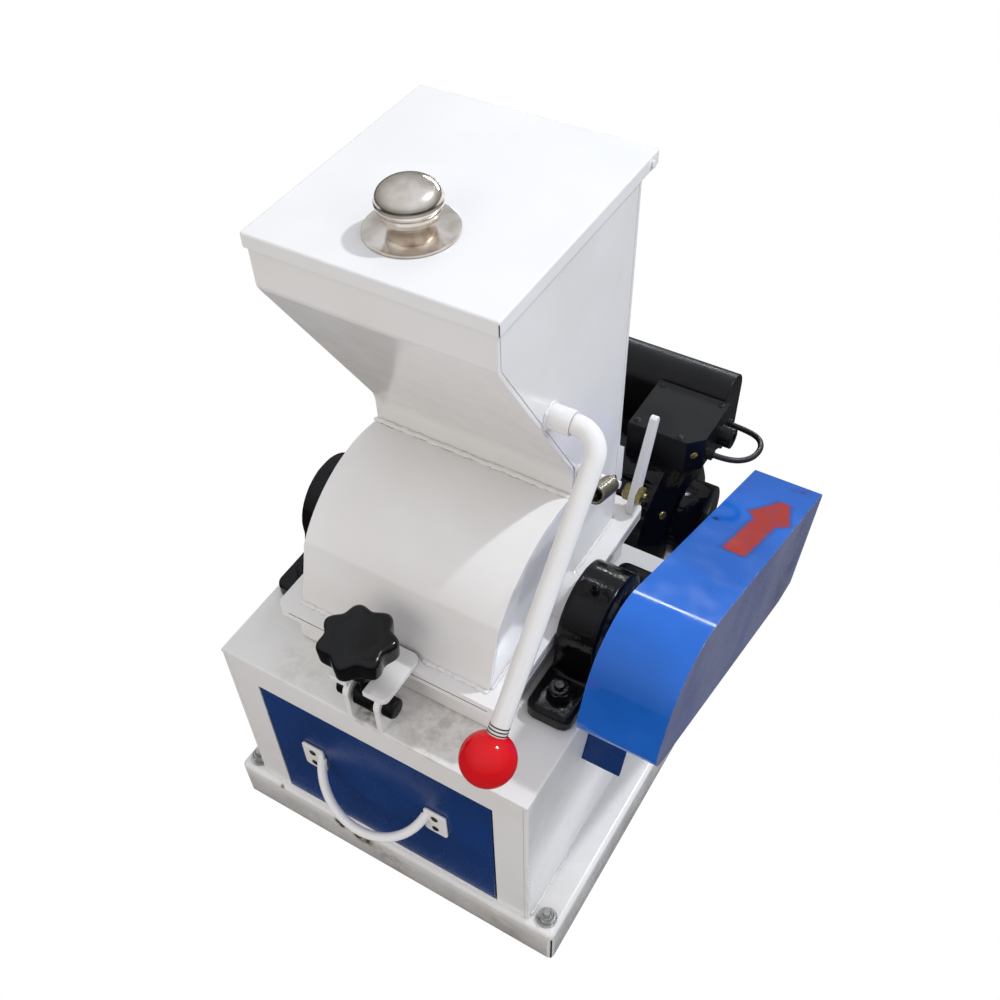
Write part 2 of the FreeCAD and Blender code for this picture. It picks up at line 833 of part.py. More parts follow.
def hammers():
    hammers_made = []
    places = disc_places()
    hammer_bore = hammer_pin_radius + hammer_bore_gap
    for i in range(rotor_discs - 1):
        centre = (places[i] + places[i + 1]) / 2
        for row in range(hammer_rows):
            angle = 45 + 360 / hammer_rows * row
            body = block(-hammer_thickness / 2, hammer_thickness / 2, hammer_pin_circle, hammer_tip,
                         -hammer_width / 2, hammer_width / 2)
            eye = bar_x(-hammer_thickness / 2, hammer_thickness / 2, hammer_pin_circle, 0, hammer_width / 2)
            body = merged([body, eye]).cut(bar_x(-beyond, beyond, hammer_pin_circle, 0, hammer_bore))
            body.rotate(V(0, 0, 0), ALONG_X, angle)
            hammers_made.append(body.translated(V(centre, axis_y, axis_z)))
    pins = [bar_x(-rotor_pin_end(), rotor_pin_end(), y, z, hammer_pin_radius) for y, z in pin_places()]
    return Part.makeCompound(hammers_made + pins)


def pulley(y, z, radius, bore):
    body = bar_x(pulley_left, pulley_right, y, z, radius)
    for x in belt_x:
        half = belt_width / 2 + belt_clearance
        floor = radius - belt_depth - 2.0
        groove = bar_x(x - half, x + half, y, z, radius + 1).cut(bar_x(x - half, x + half, y, z, floor))
        body = body.cut(groove)
    if bore > 0:
        body = body.cut(bar_x(0, beyond, y, z, bore))
    return body


def belt_loop(x, r1, r2):
    """A flat-sided loop round both pulleys, r1 at the rotor and r2 at the motor."""
    span_y, span_z = motor_y - axis_y, motor_z - axis_z
    span = math.hypot(span_y, span_z)
    base = math.atan2(span_z, span_y)
    lift = math.acos((r1 - r2) / span)

    def at(y, z, r, a):
        return (y + r * math.cos(a), z + r * math.sin(a))

    upper, lower = base + lift, base - lift
    steps = [
        at(axis_y, axis_z, r1, upper),
        (at(axis_y, axis_z, r1, base + math.pi), at(axis_y, axis_z, r1, lower)),
        at(motor_y, motor_z, r2, lower),
        (at(motor_y, motor_z, r2, base), at(motor_y, motor_z, r2, upper)),
    ]
    return side_plate(steps, x - belt_width / 2, x + belt_width / 2)


def drive_belts():
    belts = []
    for x in belt_x:
        outer = belt_loop(x, rotor_pulley_radius - 1.0, motor_pulley_radius - 1.0)
        inner = belt_loop(x, rotor_pulley_radius - 1.0 - belt_depth, motor_pulley_radius - 1.0 - belt_depth)
        belts.append(outer.cut(inner))
    return Part.makeCompound(belts)


# Belt guard: a bent strip with side plates, tilted down towards the motor.
def guard_place(x):
    t = math.radians(guard_tilt)
    return lambda u, n: V(x, guard_origin_y + u * math.cos(t) + n * math.sin(t),
                          guard_origin_z - u * math.sin(t) + n * math.cos(t))


def guard_outline(inset):
    front, rear, half = guard_front - inset, guard_rear - inset, guard_half_height - inset
    top, bottom = guard_top_round - inset, guard_bottom_round - inset
    k = 1 - math.sqrt(0.5)
    return [
        (-front + top, half),
        (rear, half),
        (rear, -half + guard_chamfer_height),
        (rear - guard_chamfer_length, -half),
        (-front + bottom, -half),
        ((-front + bottom * k, -half + bottom * k), (-front, -half + bottom)),
        (-front, half - top),
        ((-front + top * k, half - top * k), (-front + top, half)),
    ]


def guard_prism(inset, x0, x1):
    return face_from(guard_place(x0), guard_outline(inset)).extrude(V(x1 - x0, 0, 0))


def belt_guard():
    s = guard_sheet
    shell = guard_prism(0, guard_inner_x, guard_outer_x)
    shell = shell.cut(guard_prism(s, guard_inner_x + s, guard_outer_x - s))
    shell = shell.cut(bar_x(0, guard_inner_x + 2 * s, axis_y, axis_z, rotor_shaft_radius + guard_hole_gap))
    return shell.cut(bar_x(0, guard_inner_x + 2 * s, motor_y, motor_z, motor_shaft_radius + guard_hole_gap))


def guard_leg():
    place = guard_place(cabinet_half_width)
    outline = [(guard_leg_u, -guard_half_height), (guard_leg_u, -guard_leg_bottom),
               (guard_leg_u + guard_leg_sheet, -guard_leg_bottom), (guard_leg_u + guard_leg_sheet, -guard_half_height)]
    return face_from(place, outline).extrude(V(guard_leg_right - cabinet_half_width, 0, 0))


# Motor: finned stator, end shields, fan cowl, feet and its stand on the base.
def motor_feet():
    foot_z = motor_z - motor_radius - motor_fin
    feet = block(motor_foot_left, motor_foot_right, motor_y - motor_foot_half, motor_y + motor_foot_half,
                 foot_z, foot_z + motor_foot_thickness)
    legs = []
    for side in (-1, 1):
        middle = motor_y + side * motor_leg_offset
        legs.append(block(motor_foot_left, motor_foot_right, middle - motor_leg_width / 2, middle + motor_leg_width / 2,
                          foot_z, motor_z - motor_leg_drop))
    return merged([feet] + legs).cut(merged(stator()))


def stator():
    body = bar_x(motor_left, motor_right, motor_y, motor_z, motor_radius)
    fins = []
    for i in range(motor_fins):
        angle = 360 / motor_fins * i
        if fins_bare_from < angle < fins_bare_to or 225 < angle < 315:
            continue
        fin = block(motor_left, motor_right, 0, motor_radius + motor_fin, -motor_fin_thickness / 2, motor_fin_thickness / 2)
        fin.rotate(V(0, 0, 0), ALONG_X, angle)
        fins.append(fin.translated(V(0, motor_y, motor_z)))
    return [body] + fins


def motor_body():
    frame = merged(stator() + end_shield())
    return frame.cut(bar_x(motor_right - motor_bore_inside, beyond, motor_y, motor_z, motor_shaft_radius + running_gap))


def end_shield():
    taper = motor_shield_right - motor_right
    rim = bar_x(motor_right, motor_right + end_shield_rim, motor_y, motor_z, motor_radius + motor_rim_step)
    cone_start = V(motor_right + end_shield_rim, motor_y, motor_z)
    cone = Part.makeCone(motor_radius + 1, motor_hub_radius + 8, taper - end_shield_rim, cone_start, ALONG_X)
    hub = bar_x(motor_shield_right - 1, motor_hub_right, motor_y, motor_z, motor_hub_radius)
    return [rim, cone, hub]


def fan_cowl():
    cowl = bar_x(motor_cowl_left, motor_left, motor_y, motor_z, motor_cowl_radius)
    return fillet_where(cowl, 10.0, lambda e: abs(e.CenterOfMass.x - motor_cowl_left) < 1e-3)


def motor_stand():
    top = motor_z - motor_radius - motor_fin
    s = stand_sheet
    y0 = motor_y - motor_foot_half - stand_side_margin
    y1 = motor_y + motor_foot_half + stand_side_margin
    frame = block(stand_left, stand_right, y0, y1, base_height, top)
    tunnel = block(stand_left - 1, stand_right + 1, y0 + s, y1 - s, base_height - 1, top - s)
    return frame.cut(tunnel)


def motor_pulley():
    shaft = bar_x(motor_right - motor_shaft_inside, pulley_right + shaft_end_beyond, motor_y, motor_z, motor_shaft_radius)
    return merged([pulley(motor_y, motor_z, motor_pulley_radius, 0), shaft])


def terminal_box():
    c = box_chamfer
    outline = [(box_left, box_front), (box_right - c, box_front), (box_right, box_front + c), (box_right, box_rear), (box_left, box_rear)]
    box = level_plate(outline, box_bottom, box_top)
    box = box.cut(bar_x(-beyond, motor_right, motor_y, motor_z, motor_radius))
    box = box.cut(bar_x(motor_right, box_right, motor_y, motor_z, motor_radius + motor_rim_step))
    small = bar_x(box_right, box_right + gland_length, gland_y, gland_z, gland_radius)
    end = box_right + supply_gland_length
    large = bar_x(box_right, end, supply_gland_y, supply_gland_z, supply_gland_radius)
    bore = bar_x(end - supply_gland_length / 2, end + 1, supply_gland_y, supply_gland_z, supply_gland_bore)
    return merged([box, small, large]).cut(bore)


def capacitor_cover():
    r = cover_round
    k = r * (1 - math.sqrt(0.5))
    outline = [
        (cover_front, cover_bottom),
        (cover_front, cover_top - r),
        ((cover_front + k, cover_top - k), (cover_front + r, cover_top)),
        (cover_rear - r, cover_top),
        ((cover_rear - k, cover_top - k), (cover_rear, cover_top - r)),
        (cover_rear, cover_bottom),
    ]
    cover = side_plate(outline, cover_left, cover_right).cut(bar_x(-beyond, motor_right, motor_y, motor_z, motor_radius))
    cover = cover.cut(bar_x(motor_right, beyond, motor_y, motor_z, motor_radius + motor_rim_step + slide_gap))
    gland = bar_x(cover_right, cover_right + gland_length, cover_gland_y, cover_gland_z, gland_radius)
    return merged([cover, gland])


# Lead from the terminal box to the capacitor, a loop held at both ends by its glands.
def lead_route():
    start = V(box_right + gland_length, gland_y, gland_z)
    end = V(cover_right + gland_length, cover_gland_y, cover_gland_z)
    return [
        start,
        start + V(15, 1, -1),
        start + V(28, 15, -5),
        V(start.x + 30, (start.y + end.y) / 2 + 6, end.z + 6),
        end + V(29, -6, 1),
        end + V(15, 0.5, -1),
        end,
    ]


def cord_tube(points, radius):
    """Straight runs joined by tangent arcs, as large as the two runs beside each point allow."""
    edges = []
    here = points[0]
    for before, corner, after in zip(points, points[1:], points[2:]):
        back, ahead = before - corner, after - corner
        half_turn = (math.pi - back.getAngle(ahead)) / 2
        reach = 0.45 * min(back.Length, ahead.Length)
        radius_here = reach / math.tan(half_turn)
        back.normalize()
        ahead.normalize()
        first, last = corner + back * reach, corner + ahead * reach
        inward = (back + ahead).normalize()
        centre = corner + inward * (radius_here / math.cos(half_turn))
        middle = centre - inward * radius_here
        edges += [Part.LineSegment(here, first).toShape(), Part.Arc(first, middle, last).toShape()]
        print("lead bend radius", round(radius_here, 1))
        here = last
    edges.append(Part.LineSegment(here, points[-1]).toShape())
    path = Part.Wire(edges)
    ring = Part.Wire([Part.Circle(points[0], points[1] - points[0], radius).toShape()])
    tube = path.makePipeShell([ring], True, False)
    print("lead length", round(path.Length, 1), "volume share", round(tube.Volume / (math.pi * radius ** 2 * path.Length), 4))
    return tube


# Lid: a folded sheet with skirts, pinned behind the hopper, with a turned knob.
def lid_sheet_panel():
    w, s = lid_half_width, lid_sheet
    outer = block(-w, w, lid_front, lid_rear, lid_top - lid_skirt - s, lid_top)
    outer = fillet_where(outer, lid_edge, lambda e: e.CenterOfMass.z > lid_top - 1e-3 or runs_along(e, ALONG_Z))
    inside = block(-w + s, w - s, lid_front + s, beyond, 0, lid_under)
    end = w + lid_pin_stub
    pin = bar_x(-end, end, lid_pin_y, lid_pin_z, lid_pin_radius)
    return merged([outer.cut(inside), pin])


def lid_knob():
    shoulder, shoulder_z, top_z = 18.0, 29.0, 36.5
    dome_z = (top_z ** 2 - shoulder_z ** 2 - shoulder ** 2) / (2 * (top_z - shoulder_z))
    dome = top_z - dome_z
    halfway = math.asin(shoulder / dome) / 2
    profile = [
        (0, 0),
        (knob_plate_radius, 0),
        (knob_plate_radius, 0.8),
        (13.0, 4.5),
        (11.0, 5.5),
        (11.0, 8.0),
        (15.5, 9.5),
        (16.5, 11.5),
        (17.5, 12.0),
        (18.5, 14.0),
        ((knob_radius, 21.0), (shoulder, shoulder_z)),
        ((dome * math.sin(halfway), dome_z + dome * math.cos(halfway)), (0, top_z)),
    ]
    face = face_from(lambda r, h: V(r, knob_y, lid_top + h), profile)
    return face.revolve(V(0, knob_y, 0), ALONG_Z, 360)


# Gate and lever: one bent rod carries the flap inside and the ball outside.
lever_axis = V(0, lever_y, lever_z)
ball_centre = V(lever_plane_x, ball_y, ball_z)
lever_corner = V(lever_plane_x, lever_y, lever_z)


def lever_rod():
    down = (ball_centre - lever_corner).normalize()
    bend_in = lever_corner - ALONG_X * lever_bend
    bend_out = lever_corner + down * lever_bend
    centre = bend_in + down * lever_bend
    middle = centre + (lever_corner - centre).normalize() * lever_bend
    end = ball_centre - down * (ball_radius - 10)
    start = V(sleeve_end_x + slide_gap, lever_y, lever_z)
    path = Part.Wire([
        Part.LineSegment(start, bend_in).toShape(),
        Part.Arc(bend_in, middle, bend_out).toShape(),
        Part.LineSegment(bend_out, end).toShape(),
    ])
    ring = Part.Wire([Part.Circle(start, ALONG_X, lever_radius).toShape()])
    outside = path.makePipeShell([ring], True, False)
    shaft = bar_x(-chamber_half_width, sleeve_end_x + 2, lever_y, lever_z, shaft_radius)
    return merged([outside, shaft])


def side_bosses():
    tube = bar_x(chamber_half_width, sleeve_end_x, lever_y, lever_z, sleeve_radius)
    tube = tube.cut(bar_x(0, beyond, lever_y, lever_z, shaft_radius + running_gap))
    stud = bar_x(chamber_half_width, stud_end_x, stud_y, stud_z, stud_radius)
    return Part.makeCompound([tube, stud])


def lever_ball():
    down = (ball_centre - lever_corner).normalize()
    ball = Part.makeSphere(ball_radius, ball_centre)
    neck = bar(ball_centre - down * (ball_radius + 5), ball_centre - down * (ball_radius - 3), lever_radius + 1.5)
    socket = bar(ball_centre - down * 60, ball_centre - down * (ball_radius - 10), lever_radius)
    return merged([ball, neck]).cut(socket)


def gate_flap():
    half = chamber_half_width - chamber_sheet - gate_side_gap
    tip = hopper_rear_y - chamber_sheet - gate_tip_gap
    t = gate_thickness / 2
    plate = block(-half, half, lever_y, tip, lever_z - t, lever_z + t)
    return plate.cut(bar_x(-beyond, beyond, lever_y, lever_z, shaft_radius))


# Return spring between the lever and a stud on the chamber's side.
def spring_ends():
    front = lever_corner + (ball_centre - lever_corner) * lever_hook_at
    return front, V(stud_hook_x, stud_y, stud_z)


def gate_spring():
    front, rear = spring_ends()
    along = (rear - front).normalize()
    down = (ball_centre - lever_corner).normalize()
    front_loop = lever_radius + spring_hook_gap + spring_wire
    rear_loop = stud_radius + spring_hook_gap + spring_wire
    body_end = rear - along * (rear_loop + spring_neck)
    body_start = body_end - along * spring_body
    return merged([
        Part.makeTorus(front_loop, spring_wire, front, down),
        bar(front + along * front_loop, body_start, spring_wire),
        bar(body_start, body_end, spring_radius),
        bar(body_end, rear - along * rear_loop, spring_wire),
        Part.makeTorus(rear_loop, spring_wire, rear, ALONG_X),
    ])


# Clamp: fork tab, ears, swing bolt and star knob.
def fork_tab():
    rear = drum_foot_y - 1
    outline = rounded_rectangle(-tab_half_width, tab_half_width, tab_front, rear, 6.0)
    tab = level_plate(outline, upper_z, upper_z + flange_thickness)
    slot_end = clamp_y + 1
    slot = merged([
        block(-tab_slot, tab_slot, -beyond, slot_end, 0, beyond),
        bar_z(0, beyond, 0, slot_end, tab_slot),
    ])
    return tab.cut(slot)


def clamp_ears():
    outline = [
        (0.5, cabinet_top_z),
        (ear_rear, cabinet_top_z),
        (ear_rear, clamp_pin_z),
        ((clamp_y, ear_top), (0.5, clamp_pin_z)),
    ]
    outer = ear_inner + ear_thickness
    ear = side_plate(outline, ear_inner, outer)
    pin = bar_x(-outer, outer, clamp_y, clamp_pin_z, clamp_pin_radius)
    head = bar_x(outer, outer + clamp_head_length, clamp_y, clamp_pin_z, clamp_head_radius)
    return merged([ear, mirrored(ear), pin, head, mirrored(head)])


def swing_bolt():
    eye = bar_x(-swing_eye_half_width, swing_eye_half_width, clamp_y, clamp_pin_z, swing_eye_radius)
    rod = bar_z(clamp_pin_z, star_body_bottom + 8, 0, clamp_y, swing_bolt_radius)
    return merged([eye, rod]).cut(bar_x(-beyond, beyond, clamp_y, clamp_pin_z, clamp_pin_radius + running_gap))


def star_outline():
    """Seven rounded lobes joined by hollows, as tangent arcs."""
    steps = []
    pitch = 2 * math.pi / star_lobes
    lobe_centre = star_radius - star_lobe_radius
    first = math.radians(123)
    hollow = star_radius * 0.83
    for i in range(star_lobes):
        a = first + pitch * i

        def at(radius, angle):
            return (radius * math.cos(angle), clamp_y + radius * math.sin(angle))

        spread = pitch * 0.27
        shoulder = star_radius * 0.925
        if not steps:
            steps.append(at(shoulder, a - spread))
        steps.append((at(star_radius, a), at(shoulder, a + spread)))
        steps.append((at(hollow, a + pitch / 2), at(shoulder, a + pitch - spread)))
    return steps


def star_knob():
    steps = star_outline()
    body = level_plate(steps, star_body_bottom, star_body_top)
    hub = bar_z(star_hub_bottom, star_body_bottom + 1, 0, clamp_y, star_hub_radius)
    thread = bar_z(0, star_body_bottom + 8 + slide_gap, 0, clamp_y, swing_bolt_radius + running_gap)
    return merged([body, hub]).cut(thread)


# Grate: a half-round screen hung in the chute.
def grate():
    r0, r1 = grate_radius, grate_radius + grate_thickness
    drop = axis_z - cabinet_top_z
    w = grate_half_width
    tube = bar_x(-w, w, axis_y, axis_z, r1).cut(bar_x(-w - 1, w + 1, axis_y, axis_z, r0))
    arc = tube.common(block(-w, w, 0, beyond, 0, cabinet_top_z))
    reach = math.sqrt(r0 ** 2 - drop ** 2)
    ledges = [
        block(-w, w, chute_front - grate_ledge, axis_y - reach + 1, cabinet_top_z, cabinet_top_z + grate_thickness),
        block(-w, w, axis_y + reach - 1, chute_rear + grate_ledge, cabinet_top_z, cabinet_top_z + grate_thickness),
    ]
    return merged([arc] + ledges)


nodes = {
    "base_tray": base_tray(),
    "mounting_bolts": mounting_bolts(),
    "cabinet_front": cabinet_front(),
    "cabinet_right_side": cabinet_side(),
    "cabinet_left_side": mirrored(cabinet_side()),
    "cabinet_rear": cabinet_rear(),
    "cabinet_top": cabinet_top(),
    "drawer_runners": drawer_runner(),
    "drawer_front": drawer_front(),
    "drawer_tray": drawer_tray(),
    "drawer_handle": drawer_handle(),
    "lower_housing": lower_housing(),
    "grate": grate(),
    "upper_flange": upper_flange(),
    "drum_cover": drum_cover(),
    "hopper_front": hopper_front(),
    "hopper_rear": hopper_rear(),
    "chamber_right_side": chamber_side(),
    "chamber_left_side": mirrored(chamber_side()),
    "rear_bars": rear_bars(),
    "right_bearing": bearing_housing(),
    "left_bearing": mirrored(bearing_housing()),
    "rotor": rotor(),
    "hammers": hammers(),
    "rotor_pulley": pulley(axis_y, axis_z, rotor_pulley_radius, rotor_shaft_radius),
    "drive_belts": drive_belts(),
    "belt_guard": belt_guard(),
    "guard_leg": guard_leg(),
    "motor_body": motor_body(),
    "motor_feet": motor_feet(),
    "motor_fan_cowl": fan_cowl(),
    "motor_stand": motor_stand(),
    "motor_pulley": motor_pulley(),
    "terminal_box": terminal_box(),
    "capacitor_cover": capacitor_cover(),
    "capacitor_lead": cord_tube(lead_route(), lead_radius),
    "lid": lid_sheet_panel(),
    "lid_knob": lid_knob(),
    "lever_rod": lever_rod(),
    "lever_ball": lever_ball(),
    "gate_flap": gate_flap(),
    "side_bosses": side_bosses(),
    "gate_spring": gate_spring(),
    "fork_tab": fork_tab(),
    "clamp_ears": clamp_ears(),
    "swing_bolt": swing_bolt(),
    "star_knob": star_knob(),
}

os.makedirs("parts", exist_ok=True)
for name, shape in nodes.items():
    if not shape.isValid():
        print("not valid:", name)
    shape.exportStep(os.path.join("parts", name + ".step"))
    print(name, len(shape.Solids), round(sum(s.Volume for s in shape.Solids)))
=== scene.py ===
import math
import random

import bmesh
import bpy
from mathutils import Matrix, Vector


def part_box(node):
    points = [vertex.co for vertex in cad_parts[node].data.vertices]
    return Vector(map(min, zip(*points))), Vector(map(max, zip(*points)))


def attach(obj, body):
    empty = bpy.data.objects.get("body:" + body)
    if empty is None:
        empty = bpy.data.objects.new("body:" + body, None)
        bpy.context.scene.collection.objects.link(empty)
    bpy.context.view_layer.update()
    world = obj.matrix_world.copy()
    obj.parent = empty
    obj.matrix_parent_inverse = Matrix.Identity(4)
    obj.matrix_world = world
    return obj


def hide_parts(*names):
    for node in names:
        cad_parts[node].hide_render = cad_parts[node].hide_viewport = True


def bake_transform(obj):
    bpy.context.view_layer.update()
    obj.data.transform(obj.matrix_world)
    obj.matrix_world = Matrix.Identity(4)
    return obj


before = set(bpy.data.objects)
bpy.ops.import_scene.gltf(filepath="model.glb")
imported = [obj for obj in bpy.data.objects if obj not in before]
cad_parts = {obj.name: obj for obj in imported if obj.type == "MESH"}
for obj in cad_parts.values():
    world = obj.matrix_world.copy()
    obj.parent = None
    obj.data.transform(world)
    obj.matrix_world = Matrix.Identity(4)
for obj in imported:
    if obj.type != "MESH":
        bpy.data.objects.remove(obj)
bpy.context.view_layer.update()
random.seed(7)


# Camera: stands to the right of the front, looking down at about 51 degrees, as a person over the bench.
# The lens and the shift are those of the photograph's crop.
def view_axes(azimuth, elevation, roll):
    """The camera's own right, up and backward directions, from three angles in degrees."""
    turn, rise, lean = (math.radians(angle) for angle in (azimuth, elevation, roll))
    back = Vector((math.sin(turn) * math.cos(rise), -math.cos(turn) * math.cos(rise), math.sin(rise)))
    level = Vector((math.cos(turn), math.sin(turn), 0))
    upright = back.cross(level)
    right = level * math.cos(lean) + upright * math.sin(lean)
    return right, back.cross(right), back


camera_right, camera_up, camera_back = view_axes(azimuth=34.981, elevation=51.045, roll=-4.184)
camera_data = bpy.data.cameras.new("camera")
camera_data.sensor_width = 36
camera_data.lens = 40.3
camera_data.shift_x = 0.0338
camera_data.shift_y = 0.0862
camera = bpy.data.objects.new("camera", camera_data)
camera.matrix_world = Matrix((camera_right, camera_up, camera_back)).transposed().to_4x4()
camera.location = (0.33351, -0.32844, 0.97318)
bpy.context.scene.collection.objects.link(camera)
bpy.context.scene.camera = camera


# Capacitor lead: a black sheathed cable of 5 mm that loops from the terminal box to the capacitor cover.
# It is stiff enough to stand in its own curve between its two glands.
def linear(code):
    """An sRGB hex value as a linear colour."""
    parts = [int(code[i:i + 2], 16) / 255 for i in (1, 3, 5)]
    return tuple(c / 12.92 if c <= 0.04045 else ((c + 0.055) / 1.055) ** 2.4 for c in parts) + (1,)


def add(tree, kind, inputs=(), output=0, **settings):
    """Adds a node with its settings, fills or links its inputs, by name or in order, and gives one output."""
    node = tree.nodes.new("ShaderNode" + kind)
    for name, value in settings.items():
        setattr(node, name, value)
    for name, value in inputs.items() if isinstance(inputs, dict) else enumerate(inputs):
        if isinstance(value, bpy.types.NodeSocket):
            tree.links.new(value, node.inputs[name])
        else:
            node.inputs[name].default_value = linear(value) if isinstance(value, str) else value
    return node.outputs[output] if len(node.outputs) else None


gradual = {"interpolation_type": "SMOOTHSTEP"}
in_colour = {"data_type": "RGBA", "output": 2}


def new_surface(name):
    """An empty material, with its node tree and the places on the piece that its patterns follow."""
    surface = bpy.data.materials.new(name)
    surface.use_nodes = True
    tree = surface.node_tree
    tree.nodes.clear()
    return surface, tree, add(tree, "TexCoord", output="Object")


def show(tree, inputs):
    """Ends a material in the one shader that all of them share."""
    add(tree, "OutputMaterial", {"Surface": add(tree, "BsdfPrincipled", inputs)})


# PVC and rubber: moulded, so the skin has a fine dull grain, and dust clings to it in faint clouds.
def sheath(name, code, dust):
    surface, tree, place = new_surface(name)
    cloud = add(tree, "TexNoise", {"Vector": place, "Scale": 1000 / 14, "Detail": 3})
    grain = add(tree, "TexNoise", {"Vector": place, "Scale": 1000 / 0.8})
    dusted = add(tree, "MapRange", (cloud, 0.5, 0.8, 0.0, 0.5), **gradual)
    show(tree, {
        "Base Color": add(tree, "Mix", {0: dusted, 6: code, 7: dust}, **in_colour),
        "Roughness": add(tree, "MapRange", (cloud, 0.3, 0.7, 0.32, 0.5), **gradual),
        "Normal": add(tree, "Bump", {"Height": grain, "Distance": 0.03 / 1000}),
    })
    return surface


lead_diameter = 0.005
lead_route = [
    (0.128, 0.341, 0.300),
    (0.143, 0.342, 0.299),
    (0.156, 0.356, 0.295),
    (0.158, 0.37575, 0.291),
    (0.151, 0.3925, 0.286),
    (0.137, 0.399, 0.284),
    (0.122, 0.3985, 0.285),
]
cable = bpy.data.curves.new("capacitor_cable", "CURVE")
cable.dimensions = "3D"
cable.bevel_depth = lead_diameter / 2
cable.bevel_resolution = 5
cable.use_fill_caps = True
spline = cable.splines.new("NURBS")
spline.points.add(len(lead_route) - 1)
for point, spot in zip(spline.points, lead_route):
    point.co = (*spot, 1)
spline.use_endpoint_u = True
spline.order_u = 3
cable.resolution_u = 10
cable.materials.append(sheath("pvc_cable_sheath", "#141416", "#3A3936"))
lead = bpy.data.objects.new("capacitor_cable", cable)
bpy.context.scene.collection.objects.link(lead)
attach(lead, "frame")
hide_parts("capacitor_lead")


# Base tray: a 4 mm steel sheet folded down on four sides and returned inwards at the bottom, which the
# whole machine stands on. It is sprayed in warm white gloss enamel, chipped and dusty along its front edge.
def rubbed(tree, width_mm):
    """High along the outer edges, where paint is thin and rubs off first."""
    rounded = add(tree, "Bevel", {"Radius": width_mm / 1000}, samples=4)
    true = add(tree, "NewGeometry", output="Normal")
    agree = add(tree, "VectorMath", (rounded, true), "Value", operation="DOT_PRODUCT")
    return add(tree, "MapRange", (agree, 0.8, 0.97, 1.0, 0.0), **gradual)


# Gloss enamel on steel: sprayed, so it has a fine orange peel, a slow change of tone and a clear skin.
# Grime and painted shade darken the corners, the edges are rubbed, and specks are crushed ore that stays on
# it.
# A patch is a stain, and one on the cabinet's top is a painted shadow: its centre, how far it reaches, how
# strong it is, and its colour.
def enamel(name, code, shade, roughness=0.2, specks=0.0, peel_mm=0.012, peel_size=2.2, worn="", shade_and_grime="",
           patches=(), specular=0.5):
    surface, tree, place = new_surface(name)
    tone = add(tree, "TexNoise", {"Vector": place, "Scale": 1000 / 90, "Detail": 3})
    share = add(tree, "MapRange", (tone, 0.35, 0.7), **gradual)
    colour = add(tree, "Mix", {0: share, 6: code, 7: shade}, **in_colour)
    fine = add(tree, "TexNoise", {"Vector": place, "Scale": 1000 / 2.4, "Detail": 4, "Roughness": 0.7})
    # Where the piece is closed in, its colour goes towards the grime colour: painted shade, with some grime.
    if shade_and_grime:
        open_air = add(tree, "AmbientOcclusion", {"Distance": 0.006}, "AO", samples=4)
        ragged = add(tree, "MapRange", (fine, 0.3, 0.7, -0.08, 0.08), **gradual)
        openness = add(tree, "Math", (open_air, ragged), operation="ADD")
        share = add(tree, "MapRange", (openness, 0.15, 0.6, 0.55, 0.0), **gradual)
        colour = add(tree, "Mix", {0: share, 6: colour, 7: shade_and_grime}, **in_colour)
    if worn:
        knocks = add(tree, "TexNoise", {"Vector": place, "Scale": 1000 / 7, "Detail": 4, "Roughness": 0.7})
        broken = add(tree, "MapRange", (knocks, 0.45, 0.62), **gradual)
        share = add(tree, "Math", (rubbed(tree, 0.9), broken), operation="MULTIPLY")
        colour = add(tree, "Mix", {0: share, 6: colour, 7: worn}, **in_colour)
    if specks:
        drift = add(tree, "TexNoise", {"Vector": place, "Scale": 1000 / 34})
        thick = add(tree, "MapRange", (drift, 0.42, 0.68, 0.0, 0.1 * specks), **gradual)
        dust = add(tree, "Math", (fine, thick), operation="ADD")
        share = add(tree, "MapRange", (dust, 0.735, 0.77, 0.0, 0.7), **gradual)
        colour = add(tree, "Mix", {0: share, 6: colour, 7: "#5A5248"}, **in_colour)
    for centre, reach, strength, stain in patches:
        away = add(tree, "VectorMath", (place, centre), "Value", operation="DISTANCE")
        near = add(tree, "MapRange", (away, reach * 0.15, reach, 1.0, 0.0), **gradual)
        smear = add(tree, "TexNoise", {"Vector": place, "Scale": 1000 / 11, "Detail": 4, "Roughness": 0.65})
        ragged = add(tree, "MapRange", (smear, 0.36, 0.66), **gradual)
        cloud = add(tree, "Math", (near, ragged), operation="MULTIPLY")
        share = add(tree, "Math", (cloud, strength), operation="MULTIPLY")
        colour = add(tree, "Mix", {0: share, 6: colour, 7: stain}, **in_colour)
    gloss = add(tree, "TexNoise", {"Vector": place, "Scale": 1000 / 25, "Detail": 3})
    peel = add(tree, "TexNoise", {"Vector": place, "Scale": 1000 / peel_size})
    show(tree, {
        "Base Color": colour,
        "Roughness": add(tree, "MapRange", (gloss, 0.3, 0.7, roughness - 0.04, roughness + 0.06), **gradual),
        "Specular IOR Level": specular,
        "Normal": add(tree, "Bump", {"Height": peel, "Distance": peel_mm / 1000}),
    })
    return surface


def merged_copy(node):
    """The node's mesh in millimetres, with its loose triangles joined."""
    bm = bmesh.new()
    bm.from_mesh(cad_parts[node].data)
    bmesh.ops.remove_doubles(bm, verts=bm.verts, dist=2e-6)
    bmesh.ops.scale(bm, vec=(1000, 1000, 1000), verts=bm.verts)
    return bm


def soften(bm, width):
    """Rounds every edge that turns by more than 30 degrees."""
    bmesh.ops.dissolve_limit(bm, angle_limit=math.radians(0.5), use_dissolve_boundaries=False,
                             verts=bm.verts, edges=bm.edges, delimit={"NORMAL"})
    paired = [e for e in bm.edges if len(e.link_faces) == 2]
    sharp = [e for e in paired if e.calc_face_angle(0) > math.radians(30)]
    bmesh.ops.bevel(bm, geom=sharp, offset=width, offset_type="OFFSET", segments=2, profile=0.5,
                    affect="EDGES", clamp_overlap=True, material=-1)


